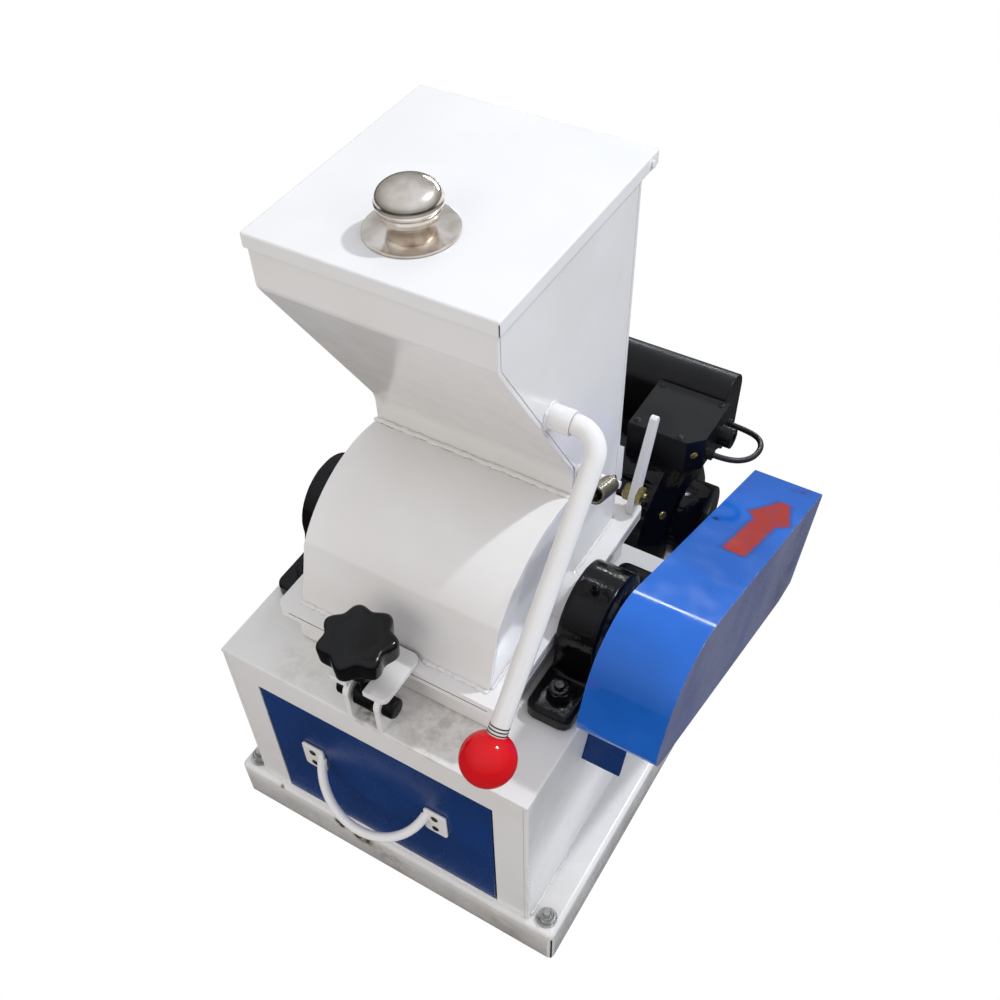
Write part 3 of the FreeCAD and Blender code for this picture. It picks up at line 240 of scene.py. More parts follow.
def piece(bm, name, body, surface, replaced=(), crease=32):
    """Puts a finished mesh, made in millimetres, in its place as a piece that rides on a body."""
    bmesh.ops.scale(bm, vec=(0.001, 0.001, 0.001), verts=bm.verts)
    mesh = bpy.data.meshes.new(name)
    bm.to_mesh(mesh)
    bm.free()
    mesh.materials.append(surface)
    mesh.shade_smooth()
    mesh.set_sharp_from_angle(angle=math.radians(crease))
    made = bpy.data.objects.new(name, mesh)
    bpy.context.scene.collection.objects.link(made)
    even = made.modifiers.new("even", "WEIGHTED_NORMAL")
    even.keep_sharp = True
    if body:
        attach(made, body)
    if replaced:
        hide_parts(*replaced)
    return made


def melt(made, grain, passes):
    """Flows a piece's forms into one another, as poured or welded metal does."""
    made.modifiers.clear()
    remesh = made.modifiers.new("grain", "REMESH")
    remesh.mode = "VOXEL"
    remesh.voxel_size = grain
    remesh.use_smooth_shade = True
    rounding = made.modifiers.new("rounding", "SMOOTH")
    rounding.factor = 0.5
    rounding.iterations = passes


def dress(node, body, surface, width=0.0):
    """A merged copy of a node, with its edges rounded if a width is given, in place of the node."""
    bm = merged_copy(node)
    if width:
        soften(bm, width)
    return piece(bm, node + "_skin", body, surface, [node])


white = enamel("warm_white_enamel", "#ECEAE7", "#E7E4E0", 0.18, shade_and_grime="#8F897E")
tray_stains = [
    ((-0.052, -0.005, 0.038), 0.012, 2.0, "#4A3A2A"),
    ((-0.03, -0.005, 0.034), 0.017, 1.8, "#5A452F"),
    ((0.0, -0.005, 0.018), 0.03, 0.5, "#8A6A46"),
    ((-0.12, -0.004, 0.044), 0.004, 1.0, "#3A3027"),
    ((0.12, -0.005, 0.012), 0.03, 0.35, "#9A8468"),
    ((-0.155, 0.03, 0.047), 0.03, 0.3, "#9B9483"),
]
white_dusty = enamel("warm_white_enamel_dusty", "#ECEAE6", "#E3E0DB", 0.24, specks=0.3, shade_and_grime="#7A7266",
                     patches=tray_stains)
dress("base_tray", "frame", white_dusty)


# Open corner of the tray: the front and right aprons are bent down separately and don't quite meet.
# The shade in the gap shows as a dark upright line, so a thin dark strip of painted shade is let into the
# corner.
def strip(bm, centre, size, turn=0.0):
    """A straight strip of a size (x, y, z) round its centre, turned about the upright."""
    spot = Matrix.Translation(centre) @ Matrix.Rotation(turn, 4, "Z") @ Matrix.Diagonal((*size, 1))
    bmesh.ops.create_cube(bm, size=1, matrix=spot)


bm = bmesh.new()
strip(bm, (167.7, -3.7, 20), (1.3, 0.9, 38), math.pi / 4)
piece(bm, "base_corner_slit", "frame", sheath("shadowed_joint", "#1D1A17", "#3A332B"))


# Base bolts: zinc plated studs with washers and nuts, one at each corner of the tray.
# The stud's end stands above the nut.
# Plated, turned or cast metal: bright with a faint cloud and a fine grain, and darkened in its corners by
# painted shade.
def plated(name, code, cloud="#8F8C86", roughness=0.34):
    surface, tree, place = new_surface(name)
    patch = add(tree, "TexNoise", {"Vector": place, "Scale": 1000 / 6, "Detail": 3})
    share = add(tree, "MapRange", (patch, 0.35, 0.75, 0.0, 0.6), **gradual)
    colour = add(tree, "Mix", {0: share, 6: code, 7: cloud}, **in_colour)
    open_air = add(tree, "AmbientOcclusion", {"Distance": 0.004}, "AO", samples=4)
    share = add(tree, "MapRange", (open_air, 0.2, 0.8, 0.6, 0.0), **gradual)
    colour = add(tree, "Mix", {0: share, 6: colour, 7: "#3D3830"}, **in_colour)
    dull = add(tree, "TexNoise", {"Vector": place, "Scale": 1000 / 3, "Detail": 3})
    grain = add(tree, "TexNoise", {"Vector": place, "Scale": 1000 / 1.4, "Detail": 3})
    show(tree, {
        "Base Color": colour,
        "Metallic": 0.9,
        "Roughness": add(tree, "MapRange", (dull, 0.3, 0.7, roughness - 0.08, roughness + 0.1), **gradual),
        "Normal": add(tree, "Bump", {"Height": grain, "Distance": 0.02 / 1000}),
    })
    return surface


def cylinder(bm, start, end, radius, sides=24, end_radius=None):
    """A round bar from start to end, tapered if an end radius is given."""
    start, end = Vector(start), Vector(end)
    span = end - start
    turn = span.to_track_quat("Z", "Y").to_matrix().to_4x4()
    bmesh.ops.create_cone(bm, cap_ends=True, cap_tris=False, segments=sides, radius1=radius,
                          radius2=radius if end_radius is None else end_radius, depth=span.length,
                          matrix=Matrix.Translation((start + end) / 2) @ turn)


def hex_head(bm, centre, facing, flats, rise, washer=0.0):
    """A hexagon head or nut with its corners turned off, on a washer if one is given."""
    centre, facing = Vector(centre), Vector(facing).normalized()
    washer_rise = 1.6
    if washer:
        cylinder(bm, centre, centre + facing * washer_rise, washer, 28)
        centre = centre + facing * washer_rise
    shoulder = centre + facing * rise * 0.8
    cylinder(bm, centre, shoulder, flats / math.sqrt(3), 6)
    cylinder(bm, shoulder, centre + facing * rise, flats / 2, 24, flats * 0.42)


zinc = plated("zinc_plate", "#C9C8C3")
washer_radius, nut_flats, nut_rise = 9.2, 13, 6.8
stud_radius, stud_tip_radius = 3.9, 2.9
bm = bmesh.new()
for x in (-156, 156):
    for y in (9, 418):
        seat, washer_top = Vector((x, y, 47)), Vector((x, y, 48.4))
        stud_foot, stud_end, stud_tip = Vector((x, y, 30)), Vector((x, y, 58)), Vector((x, y, 59.4))
        cylinder(bm, seat, washer_top, washer_radius, 40)
        hex_head(bm, washer_top, (0, 0, 1), nut_flats, nut_rise)
        cylinder(bm, stud_foot, stud_end, stud_radius)
        cylinder(bm, stud_end, stud_tip, stud_radius, end_radius=stud_tip_radius)
piece(bm, "base_bolts", "frame", zinc, ["mounting_bolts"])


# Cabinet: five panels of 4 mm sheet, welded at the corners and ground, in the same warm white enamel.
# Crushed rock and grease lie on its top round the clamp, and a painted shadow darkens it to the right of the
# clamp.
top_stains_and_shadow = [
    ((0.0, 0.018, 0.246), 0.028, 1.0, "#5C5347"),
    ((-0.075, 0.02, 0.246), 0.035, 0.3, "#B0A795"),
    # This patch is a painted shadow on the top, to the right of the clamp.
    ((0.05, 0.026, 0.246), 0.05, 0.45, "#9A8F7E"),
]
white_top = enamel("warm_white_enamel_soiled_and_shaded", "#ECEAE6", "#E3E0DB", 0.22, specks=0.2, shade_and_grime="#6F675B",
                   patches=top_stains_and_shadow)
for node in ("cabinet_front", "cabinet_left_side", "cabinet_right_side", "cabinet_rear"):
    dress(node, "frame", white, 0.7)
dress("cabinet_top", "frame", white_top)


# Cabinet's welds: lumpy beads along its foot and up its front right corner, run together and painted over.
# Each run below is its start, its end, the bead's width and how far it stands out.
def weld(bm, start, end, width, lift=0.55):
    """A row of flattened drops from start to end, uneven as a hand weld is."""
    start, end = Vector(start), Vector(end)
    turn = (end - start).to_track_quat("X", "Z").to_matrix().to_4x4()
    along = 0.0
    while along < (end - start).length:
        size = width * random.uniform(0.75, 1.2)
        shake = Vector([random.uniform(-0.2, 0.2) * width for _ in range(3)])
        spot = Matrix.Translation(start.lerp(end, along / (end - start).length) + shake)
        shape = Matrix.Diagonal((size * 1.1, size, size * lift, 1))
        bmesh.ops.create_icosphere(bm, subdivisions=2, radius=1, matrix=spot @ turn @ shape)
        along += size * random.uniform(0.5, 1.0)


cabinet_runs = [
    ((142.6, 1.4, 48), (142.6, 1.4, 150), 1.6, 1.0),
    ((143, 6, 47.2), (143, 255, 47.2), 1.8),
    ((-139, 0.2, 47.2), (139, 0.2, 47.2), 1.4),
    ((-143, 6, 47.2), (-143, 255, 47.2), 1.8),
]
bm = bmesh.new()
for run in cabinet_runs:
    weld(bm, *run)
melt(piece(bm, "cabinet_welds", "frame", white), 0.0007, 3)


# Drawer: a plate in deep blue enamel on a folded steel tray that slides on two runners.
# The handle is a bowed rod on two flat feet, white, each foot held by two dark screws.
blue = enamel("deep_blue_enamel", "#0E3876", "#0B3066", 0.24, worn="#5F77A5", shade_and_grime="#0A1833", specular=0.3)
steel = plated("mild_steel", "#9A9893", roughness=0.42)
dress("drawer_front", "drawer", blue)
dress("drawer_tray", "drawer", steel, 0.4)
dress("drawer_runners", "frame", steel, 0.4)
melt(dress("drawer_handle", "drawer", white), 0.0007, 12)


def join(made, bm):
    """Adds a form made on its own to a piece's mesh."""
    mesh = bpy.data.meshes.new("form")
    made.to_mesh(mesh)
    made.free()
    bm.from_mesh(mesh)
    bpy.data.meshes.remove(mesh)


def slotted_screw(bm, centre, facing, radius, rise=1.2):
    """A pan head with its rim rounded and a narrow slot cut across."""
    centre, facing = Vector(centre), Vector(facing)
    made = bmesh.new()
    bmesh.ops.create_uvsphere(made, u_segments=24, v_segments=12, radius=radius)
    bmesh.ops.bisect_plane(made, geom=made.verts[:] + made.edges[:] + made.faces[:], dist=1e-4,
                           plane_co=(0, 0, 0), plane_no=(0, 0, -1), clear_outer=True)
    rim = [e for e in made.edges if e.is_boundary]
    bmesh.ops.contextual_create(made, geom=rim)
    bmesh.ops.scale(made, vec=(1, 1, rise / radius), verts=made.verts)
    slot = [v for v in made.verts if v.co.z > 0.3 * rise and abs(v.co.x) < radius * 0.17]
    bmesh.ops.translate(made, vec=(0, 0, -0.45 * rise), verts=slot)
    turn = facing.to_track_quat("Z", "Y").to_matrix().to_4x4()
    spin = Matrix.Rotation(random.uniform(0, math.pi), 4, "Z")
    bmesh.ops.transform(made, matrix=Matrix.Translation(centre) @ turn @ spin, verts=made.verts)
    join(made, bm)


rust = plated("browned_steel", "#6B6152", "#3B342A", 0.5)
handle_low, handle_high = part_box("drawer_handle")
foot_middle = 11
bm = bmesh.new()
for foot_x in (handle_low.x * 1000 + foot_middle, handle_high.x * 1000 - foot_middle):
    for screw_z in (135, 151):
        slotted_screw(bm, (foot_x, -3.0, screw_z), (0, -1, 0), 3.4)
piece(bm, "handle_screws", "drawer", rust)


# Bearings: two cast iron pillow blocks of 206 size, brushed thick with black gloss enamel.
# The castings are rough and rounded, and their foot bolts and grease nipples are painted with them.
# The brushed coat lies in deep soft waves and is the glossiest on the machine.
black = enamel("black_gloss_enamel", "#0A0A0B", "#0E0E10", 0.11, peel_mm=0.3, peel_size=4.5, specular=0.27)
for node in ("left_bearing", "right_bearing"):
    melt(piece(merged_copy(node), node + "_casting", "frame", black, [node]), 0.0014, 5)
bearing_x, bearing_y, foot_top, foot_reach = 119, 151, 260, 60.5
bm = bmesh.new()
for side in (-1, 1):
    for bolt_y in (bearing_y - foot_reach, bearing_y + foot_reach):
        seat, shank, tip = (Vector((side * bearing_x, bolt_y, foot_top + rise)) for rise in (0, 7, 12))
        hex_head(bm, seat, (0, 0, 1), 17, 7.5, 11)
        cylinder(bm, shank, tip, 4.6, 20, 3.6)
    nipple_line = ((9, 327), (10, 333), (10.6, 337))
    foot, neck, tip = (Vector((side * bearing_x, bearing_y - forward, z)) for forward, z in nipple_line)
    cylinder(bm, foot, neck, 3.6, 6)
    cylinder(bm, neck, tip, 2.0, 16, 1.4)
piece(bm, "bearing_bolts", "frame", black)


# Lower half of the crushing chamber: 5 mm plate welded to the cabinet's top, with a milled flange.
# The half round grate of bare steel hangs inside it.
for node in ("lower_housing", "upper_flange", "fork_tab"):
    dress(node, "frame", white, 0.7)
dress("grate", "frame", steel)


# Rotor: a turned steel shaft with four discs and twelve cast hammers that swing on four pins.
# Its pulley is cast iron, turned with two grooves, and keyed to the shaft's right end.
iron = plated("cast_iron", "#63625F", roughness=0.55)
dress("rotor", "rotor_assembly", steel)
dress("hammers", "rotor_assembly", iron, 0.6)
dress("rotor_pulley", "rotor_assembly", iron)


# Split line between the two halves of the chamber: a packed joint, dark with dust.
# A thin strip on three sides, let into the edge where the two flanges meet.
joint_z, joint_rise = 288, 0.7
bm = bmesh.new()
for x0, x1, y0, y1 in ((-90, 90, 33.86, 36), (-101.12, -99, 46, 235), (99, 101.12, 46, 260)):
    strip(bm, ((x0 + x1) / 2, (y0 + y1) / 2, joint_z), (x1 - x0, y1 - y0, joint_rise))
piece(bm, "flange_joint", "frame", sheath("packed_joint", "#3B342C", "#5A5145"))


# Upper half of the chamber and the hopper: 3 mm sheet in warm white enamel. The drum is rolled, the hopper's
# front is one sheet folded at its waist and below the lid, and the flat sides are welded between them.
def folded_sheet(chain, rounds, half, thickness):
    """A sheet bent along a chain of (y, z) points, each with a fold radius, and half as wide to each side."""
    bm = bmesh.new()
    verts = [bm.verts.new((-half, y, z)) for y, z in chain]
    edges = [bm.edges.new(pair) for pair in zip(verts, verts[1:])]
    grown = bmesh.ops.extrude_edge_only(bm, edges=edges)["geom"]
    far = [g for g in grown if isinstance(g, bmesh.types.BMVert)]
    bmesh.ops.translate(bm, vec=(2 * half, 0, 0), verts=far)
    for (y, z), radius in zip(chain, rounds):
        if radius:
            at_fold = {v for v in bm.verts if abs(v.co.y - y) < 0.01 and abs(v.co.z - z) < 0.01}
            fold = [e for e in bm.edges if at_fold.issuperset(e.verts)]
            bmesh.ops.bevel(bm, geom=fold, offset=radius, offset_type="OFFSET", segments=8, profile=0.5,
                            affect="EDGES", material=-1)
    bmesh.ops.recalc_face_normals(bm, faces=bm.faces)
    if sum(f.normal.y * f.calc_area() for f in bm.faces) > 0:
        bmesh.ops.reverse_faces(bm, faces=bm.faces)
    bmesh.ops.solidify(bm, geom=bm.faces[:] + bm.edges[:] + bm.verts[:], thickness=thickness)
    return bm


throat, waist, brow, rim = (167, 387.0), (167, 412), (72.7, 569.7), (72.7, 605.7)
bm = folded_sheet([throat, waist, brow, rim], [0, 7, 3, 0], 84.4, 3)
soften(bm, 0.5)
piece(bm, "hopper_front_sheet", "frame", white, ["hopper_front"])
for node in ("hopper_rear", "chamber_right_side", "chamber_left_side", "drum_cover"):
    dress(node, "frame", white, 0.7)


# Chamber's welds: across the waist, along both flanges, round the lever's sleeve and the spring's stud,
# and at the feet of the clamp's ears, all painted over.
chamber_runs = [
    ((-84, 165.8, 388.2), (84, 165.8, 388.2), 3.0),
    ((-84, 45.4, 294.2), (-30, 45.4, 294.2), 2.8),
    ((28, 45.4, 294.2), (84, 45.4, 294.2), 2.6),
    ((-85, 50, 294.2), (-85, 240, 294.2), 2.0),
    ((85, 50, 294.2), (85, 240, 294.2), 2.0),
]
bm = bmesh.new()
for run in chamber_runs:
    weld(bm, *run)
side_face = 84.9
for hub_y, hub_z, reach, beads in ((132, 494, 8.4, 26), (178, 405, 3.6, 14)):
    for turn in range(beads):
        angle = turn * math.tau / beads
        spot = Vector((side_face, hub_y + reach * math.cos(angle), hub_z + reach * math.sin(angle)))
        weld(bm, spot, spot + Vector((0.2, 0, 0)), 1.7, 1.0)
for ear_x in (11.5, 16.5, -11.5, -16.5):
    weld(bm, (ear_x, 2, 246.2), (ear_x, 21, 246.2), 1.3)
melt(piece(bm, "chamber_welds", "frame", white), 0.0008, 4)


# Rear bars: two flat tapered bars that stand behind the chamber, each held by a yellow zinc bolt.
# They are cut from 6 mm plate, so their edges are only broken by the paint.
def cut_plate(bm, outline, x0, x1):
    """A plate cut to an outline of (y, z) points, from x0 to x1, with its edges just rounded."""
    face = bm.faces.new([bm.verts.new((x0, y, z)) for y, z in outline])
    grown = bmesh.ops.extrude_face_region(bm, geom=[face])["geom"]
    far = [g for g in grown if isinstance(g, bmesh.types.BMVert)]
    bmesh.ops.translate(bm, vec=(x1 - x0, 0, 0), verts=far)
    corners = {v for f in grown if isinstance(f, bmesh.types.BMFace) for v in f.verts} | set(face.verts)
    bmesh.ops.recalc_face_normals(bm, faces=[f for f in bm.faces if f.verts[0] in corners])
    bmesh.ops.bevel(bm, geom=[e for e in bm.edges if e.verts[0] in corners], offset=0.6, offset_type="OFFSET",
                    segments=2, profile=0.5, affect="EDGES", clamp_overlap=True, material=-1)


# Yellow zinc: plated and passivated, so it is a dull brass yellow with a green cloud.
yellow_zinc = plated("yellow_zinc_plate", "#8F8457", "#6E6A48", 0.3)
bar_outline = [(251, 294), (266, 294), (266, 312), (287, 371.5), (285.3, 375), (282.5, 376), (279.5, 375),
               (278, 371.5), (251, 312)]
bar_inner, bar_outer, pivot_y, pivot_z = 92, 98, 258.5, 312
bm, bolts = bmesh.new(), bmesh.new()
for side in (-1, 1):
    cut_plate(bm, bar_outline, side * bar_inner, side * bar_outer)
    hex_head(bolts, (side * bar_outer, pivot_y, pivot_z), (side, 0, 0), 13, 5)
    cylinder(bolts, (side * 103, pivot_y, pivot_z), (side * 105, pivot_y, pivot_z), 3.6, 20, 3.0)
    hex_head(bolts, (side * bar_inner, pivot_y, pivot_z), (-side, 0, 0), 13, 6)
piece(bm, "rear_bars_plate", "frame", white, ["rear_bars"])
piece(bolts, "rear_bar_bolts", "frame", yellow_zinc)


# Clamp: two white ears on the cabinet's top with a pin through them, on which a black eye bolt swings.
# The bolt and the pin's turned heads are steel, blackened in a hot oxide bath: dark, with a dull metal sheen.
oxide = plated("black_oxide_steel", "#26262A", "#1A1A1C", 0.42)
clamp_y, pin_z, pin_radius = 11, 271, 5.1
pin_head = ((16.6, 8.2, 17.4, 8.6), (17.4, 8.6, 24, 8.4), (24, 8.4, 25.4, 7.4), (25.4, 7.4, 26.2, 5.4))
dress("clamp_ears", "frame", white, 0.5)
dress("swing_bolt", "clamp_bolt", oxide)
bm = bmesh.new()
for side in (-1, 1):
    for x0, radius, x1, end_radius in pin_head:
        cylinder(bm, (side * x0, clamp_y, pin_z), (side * x1, clamp_y, pin_z), radius, 36, end_radius)
cylinder(bm, (-11.4, clamp_y, pin_z), (11.4, clamp_y, pin_z), pin_radius, 32)
piece(bm, "clamp_pin_heads", "frame", oxide)


# Star knob: seven soft lobes round a hub, moulded in black phenolic plastic on the swing bolt.
# It comes from a polished mould, so it is smooth, with small clear reflections along its rounded rim.
# Each level is its height and how far the outline stands in from the widest, and the lobes die out inwards.
plastic = enamel("black_moulded_plastic", "#060607", "#08080A", 0.16, peel_mm=0.004, specular=0.35)
star_levels = [(328, 3.0), (328.8, 1.4), (330.5, 0.6), (337, 0.2), (342.5, 0.0), (344.6, 0.5), (346.0, 1.7),
               (346.8, 3.6), (347.0, 6.0), (346.8, 9.0), (346.6, 13.0), (346.9, 18.0), (347.0, 22.0)]
star_steps, star_radius, lobes, lobe_rise, lobe_turn = 168, 27.4, 7, 2.6, math.radians(123)
bm = bmesh.new()
rings = []
for z, inset in star_levels:
    ring = []
    for turn in range(star_steps):
        angle = turn * math.tau / star_steps
        swing = lobe_rise * math.cos(lobes * (angle - lobe_turn)) * max(0.0, 1 - inset / 12)
        reach = star_radius - inset + swing
        ring.append(bm.verts.new((reach * math.cos(angle), clamp_y + reach * math.sin(angle), z)))
    rings.append(ring)
for low, high in zip(rings, rings[1:]):
    for turn in range(star_steps):
        after = (turn + 1) % star_steps
        bm.faces.new((low[turn], low[after], high[after], high[turn]))
bm.faces.new(rings[-1])
bm.faces.new(rings[0][::-1])
cylinder(bm, (0, clamp_y, 306.5), (0, clamp_y, 329), 12.4, 40, 13.2)
piece(bm, "star_knob_moulding", "clamp_knob", plastic, ["star_knob"], 50)


# Gate lever: a bent 14 mm rod in white enamel that turns the flap in the hopper's throat.
# A 40 mm ball is screwed on its end, and three turns of the rod's thread show as thin dark rings above it.
# The ball is moulded in red plastic and polished, so it has one small bright reflection.
red = enamel("red_moulded_plastic", "#D8121B", "#CC0F17", 0.13, peel_mm=0.002, specular=0.3)
dress("side_bosses", "frame", white, 0.4)
dress("lever_rod", "gate_lever", white)
dress("gate_flap", "gate_lever", steel, 0.4)
bend = Vector((122, 132, 494))
ball = Vector((122, -15.5, 322.4))
down = (ball - bend).normalized()
bm = bmesh.new()
bmesh.ops.create_uvsphere(bm, u_segments=64, v_segments=40, radius=20, matrix=Matrix.Translation(ball))
piece(bm, "lever_ball_moulding", "gate_lever", red, ["lever_ball"])
first_ring, ring_pitch, ring_width, ring_radius = 19.6, 2.5, 0.9, 7.25
bm = bmesh.new()
for turn in range(3):
    start = ball - down * (first_ring + ring_pitch * turn)
    cylinder(bm, start, start - down * ring_width, ring_radius, 40)
piece(bm, "lever_rings", "gate_lever", rust)


# Gate spring: a close coiled extension spring of nickel plated wire, hooked on the lever and on the stud.
# The nickel has gone dull and brownish. A small white eye on the lever carries the front hook.
nickel = plated("dull_nickel", "#8F897A", "#6E6A5E", 0.3)
wire, coil_radius, coil_length, turns, turn_steps = 1.15, 5.5, 42, 18, 24
spring_front = bend + (ball - bend) * 0.215
spring_rear = Vector((110, 178, 405))
along = (spring_rear - spring_front).normalized()
coil_end = spring_rear - along * 6.9
coil_start = coil_end - along * coil_length


def wire_spun(bm, radius, sides, rise, angle, steps):
    """Spins the wire's round section about the upright: a closed ring, or a coil where it rises."""
    section = bmesh.ops.create_circle(bm, cap_ends=False, segments=sides, radius=wire)["verts"]
    bmesh.ops.rotate(bm, cent=(0, 0, 0), matrix=Matrix.Rotation(math.pi / 2, 3, "X"), verts=section)
    bmesh.ops.translate(bm, vec=(radius, 0, 0), verts=section)
    bmesh.ops.spin(bm, geom=bm.verts[:] + bm.edges[:], cent=(0, 0, 0), axis=(0, 0, 1),
                   dvec=(0, 0, rise / steps), angle=angle, steps=steps, use_merge=rise == 0,
                   use_duplicate=False)


def hook(bm, centre, axis, radius):
    """A closed ring of the wire round an axis."""
    made = bmesh.new()
    wire_spun(made, radius, 10, 0, math.tau, 40)
    bmesh.ops.recalc_face_normals(made, faces=made.faces)
    turn = Vector(axis).to_track_quat("Z", "Y").to_matrix().to_4x4()
    bmesh.ops.transform(made, matrix=Matrix.Translation(centre) @ turn, verts=made.verts)
    join(made, bm)


bm = bmesh.new()
wire_spun(bm, coil_radius, 8, coil_length, math.tau * turns, turns * turn_steps)
bmesh.ops.holes_fill(bm, edges=[e for e in bm.edges if e.is_boundary], sides=8)
bmesh.ops.recalc_face_normals(bm, faces=bm.faces)
lean = along.to_track_quat("Z", "Y").to_matrix().to_4x4()
bmesh.ops.transform(bm, matrix=Matrix.Translation(coil_start) @ lean, verts=bm.verts)
front_hook, rear_hook, overlap = 3.4, 4.5, 0.6
hook(bm, spring_front + along * 10.2, (1, 0, 0), front_hook)
hook(bm, spring_rear, (1, 0, 0), rear_hook)
cylinder(bm, spring_front + along * (10.2 + front_hook), coil_start + along * overlap, wire, 12)
cylinder(bm, coil_end - along * overlap, spring_rear - along * rear_hook, wire, 12)
spring = piece(bm, "gate_spring_coil", "", nickel, ["gate_spring"], 80)
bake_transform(spring)
bm = bmesh.new()
hook(bm, spring_front + along * 6.8, down, 2.6)
piece(bm, "lever_eye", "gate_lever", white)


# Lid: a folded sheet in white enamel, pinned to the hopper at the rear. Its white is a little cooler than the
# rest, painted so for the cool light that falls on its top. Its rims are bent down and don't quite meet at
# the front right corner, so a thin dark strip of painted shade stands in for the shade in the gap there.
cool = enamel("cool_white_enamel", "#EEEDEB", "#EAE9E6", 0.18, shade_and_grime="#8F897E")
dress("lid", "hopper_lid", cool, 0.3)
bm = bmesh.new()
strip(bm, (86.55, 71.45, 601.6), (0.7, 0.5, 7.6), math.pi / 4)
piece(bm, "lid_corner_slit", "hopper_lid", sheath("shadowed_fold", "#56534F", "#6A6660"))


# Lid's knob: a waisted knob spun from stainless sheet, on a wide foot, with a low domed crown.
# Polished stainless steel: spun and buffed, so it mirrors the room. Its rings of scratches are drawn
# 1.2 mm apart, coarser than they are, so that they show.
def polish(name, code, darker, centre_y):
    surface, tree, place = new_surface(name)
    middle = add(tree, "VectorMath", (place, (0, -centre_y, 0)), operation="ADD")
    scratches = add(tree, "TexWave", {"Vector": middle, "Scale": 260.0, "Distortion": 1.5}, "Fac",
                    wave_type="RINGS", rings_direction="Z")
    smear = add(tree, "TexNoise", {"Vector": place, "Scale": 1000 / 16, "Detail": 3})
    share = add(tree, "MapRange", (smear, 0.35, 0.7), **gradual)
    touch = add(tree, "TexNoise", {"Vector": place, "Scale": 1000 / 9, "Detail": 4})
    show(tree, {
        "Base Color": add(tree, "Mix", {0: share, 6: code, 7: darker}, **in_colour),
        "Metallic": 1.0,
        "Roughness": add(tree, "MapRange", (touch, 0.3, 0.7, 0.1, 0.2), **gradual),
        "Anisotropic": 0.4,
        "Normal": add(tree, "Bump", {"Height": scratches, "Distance": 0.006 / 1000}),
    })
    return surface


def turned(bm, profile, centre):
    """A form turned on a lathe, from its profile of (radius, height) points, about an upright axis."""
    verts = [bm.verts.new((r, 0, z)) for r, z in profile]
    edges = [bm.edges.new(pair) for pair in zip(verts, verts[1:])]
    bmesh.ops.spin(bm, geom=verts + edges, cent=(0, 0, 0), axis=(0, 0, 1), dvec=(0, 0, 0), angle=math.tau,
                   steps=72, use_merge=True, use_duplicate=False)
    bmesh.ops.remove_doubles(bm, verts=bm.verts, dist=1e-4)
    bmesh.ops.recalc_face_normals(bm, faces=bm.faces)
    bmesh.ops.translate(bm, vec=centre, verts=bm.verts)


knob_profile = [(0, 0), (28.4, 0), (29, 0.6), (28.8, 1.4), (28.0, 1.7), (26, 1.5), (20, 2.6), (14, 4.2),
                (12.4, 5.2), (12.0, 8.0), (13.5, 9.0), (16.8, 9.4), (17.6, 10.2), (18.0, 12.4), (18.4, 13.0),
                (19.0, 13.4), (19.3, 15.4), (19.0, 15.9), (19.4, 16.4), (20.0, 17.4), (20.3, 19.4),
                (19.9, 20.3), (19.6, 20.8)]
crown_radius, crown_foot, crown_rise, crown_steps = 19.6, 20.8, 10.2, 14
for part in range(1, crown_steps):
    angle = math.pi / 2 * part / crown_steps
    knob_profile.append((crown_radius * math.cos(angle), crown_foot + crown_rise * math.sin(angle)))
knob_profile.append((0, crown_foot + crown_rise))
knob_y, lid_top = 120, 607.5
bm = bmesh.new()
turned(bm, knob_profile, (0, knob_y, lid_top))
piece(bm, "lid_knob_spun", "hopper_lid",
      polish("polished_stainless", "#F4EDE4", "#D8CCBE", knob_y / 1000), ["lid_knob"], 30)


# Motor: an 80 frame motor on a bent stand, its body cast and brushed in the black gloss of the bearings.
# Feet, cowl, terminal box and capacitor cover are pressed and sprayed in a satin black, with a finer peel.
satin = enamel("satin_black_enamel", "#0F0F11", "#151517", 0.34, peel_mm=0.05, specular=0.25)
for node in ("motor_feet", "motor_fan_cowl", "motor_stand"):
    dress(node, "frame", satin)
for node in ("terminal_box", "capacitor_cover"):
    dress(node, "frame", satin, 1.2)
dress("motor_body", "frame", black)
dress("motor_pulley", "motor_rotor", iron)
box_lid_z = 320
bm = bmesh.new()
for x, y in ((62, 329), (62, 379), (102, 327), (116, 379)):
    slotted_screw(bm, (x, y, box_lid_z), (0, 0, 1), 3.0, 0.9)
piece(bm, "box_screws", "frame", satin)
bm = bmesh.new()
slotted_screw(bm, (115.7, 328.7, 304), (1, -1, 0), 3.4)
hex_head(bm, (104, 300, 252), (1, -0.4, 0.4), 7, 3)
piece(bm, "motor_screws", "frame", plated("bright_yellow_zinc", "#C2A860", "#8E7E48", 0.25))


# Belt drive: two rubber V-belts in the pulleys' grooves, closed in by the guard.
# The rubber is dull black, and greyed by its own dust.
dress("drive_belts", "frame", sheath("belt_rubber", "#1B1B1B", "#33312E"))


# Belt guard: a bent strip between two side plates in mid blue enamel, on a deep blue leg.
# A red arrow is sprayed on the strip's top through a cut-out, so its edge is soft.
guard_tilt = math.atan2(77.5, 184)
guard_turn = Matrix.Rotation(-guard_tilt, 3, "X")
guard_centre = Vector((0, 155, 294))
guard_rear, guard_half, rolled_corner, guard_sheet = 242.96, 50, 5.5, 1.5
arrow_length, arrow_half, arrow_head = 0.1215, 0.0087, 0.0170
arrow_neck, arrow_barb, arrow_lean = 0.069, 0.081, math.radians(3.1)
arrow_foot = (guard_centre + Vector((187.8, 0, 0)) + guard_turn @ Vector((0, 69.9, guard_half))) / 1000
arrow_turn = (guard_turn @ Matrix.Rotation(-arrow_lean, 3, "Z")).to_euler("XYZ")


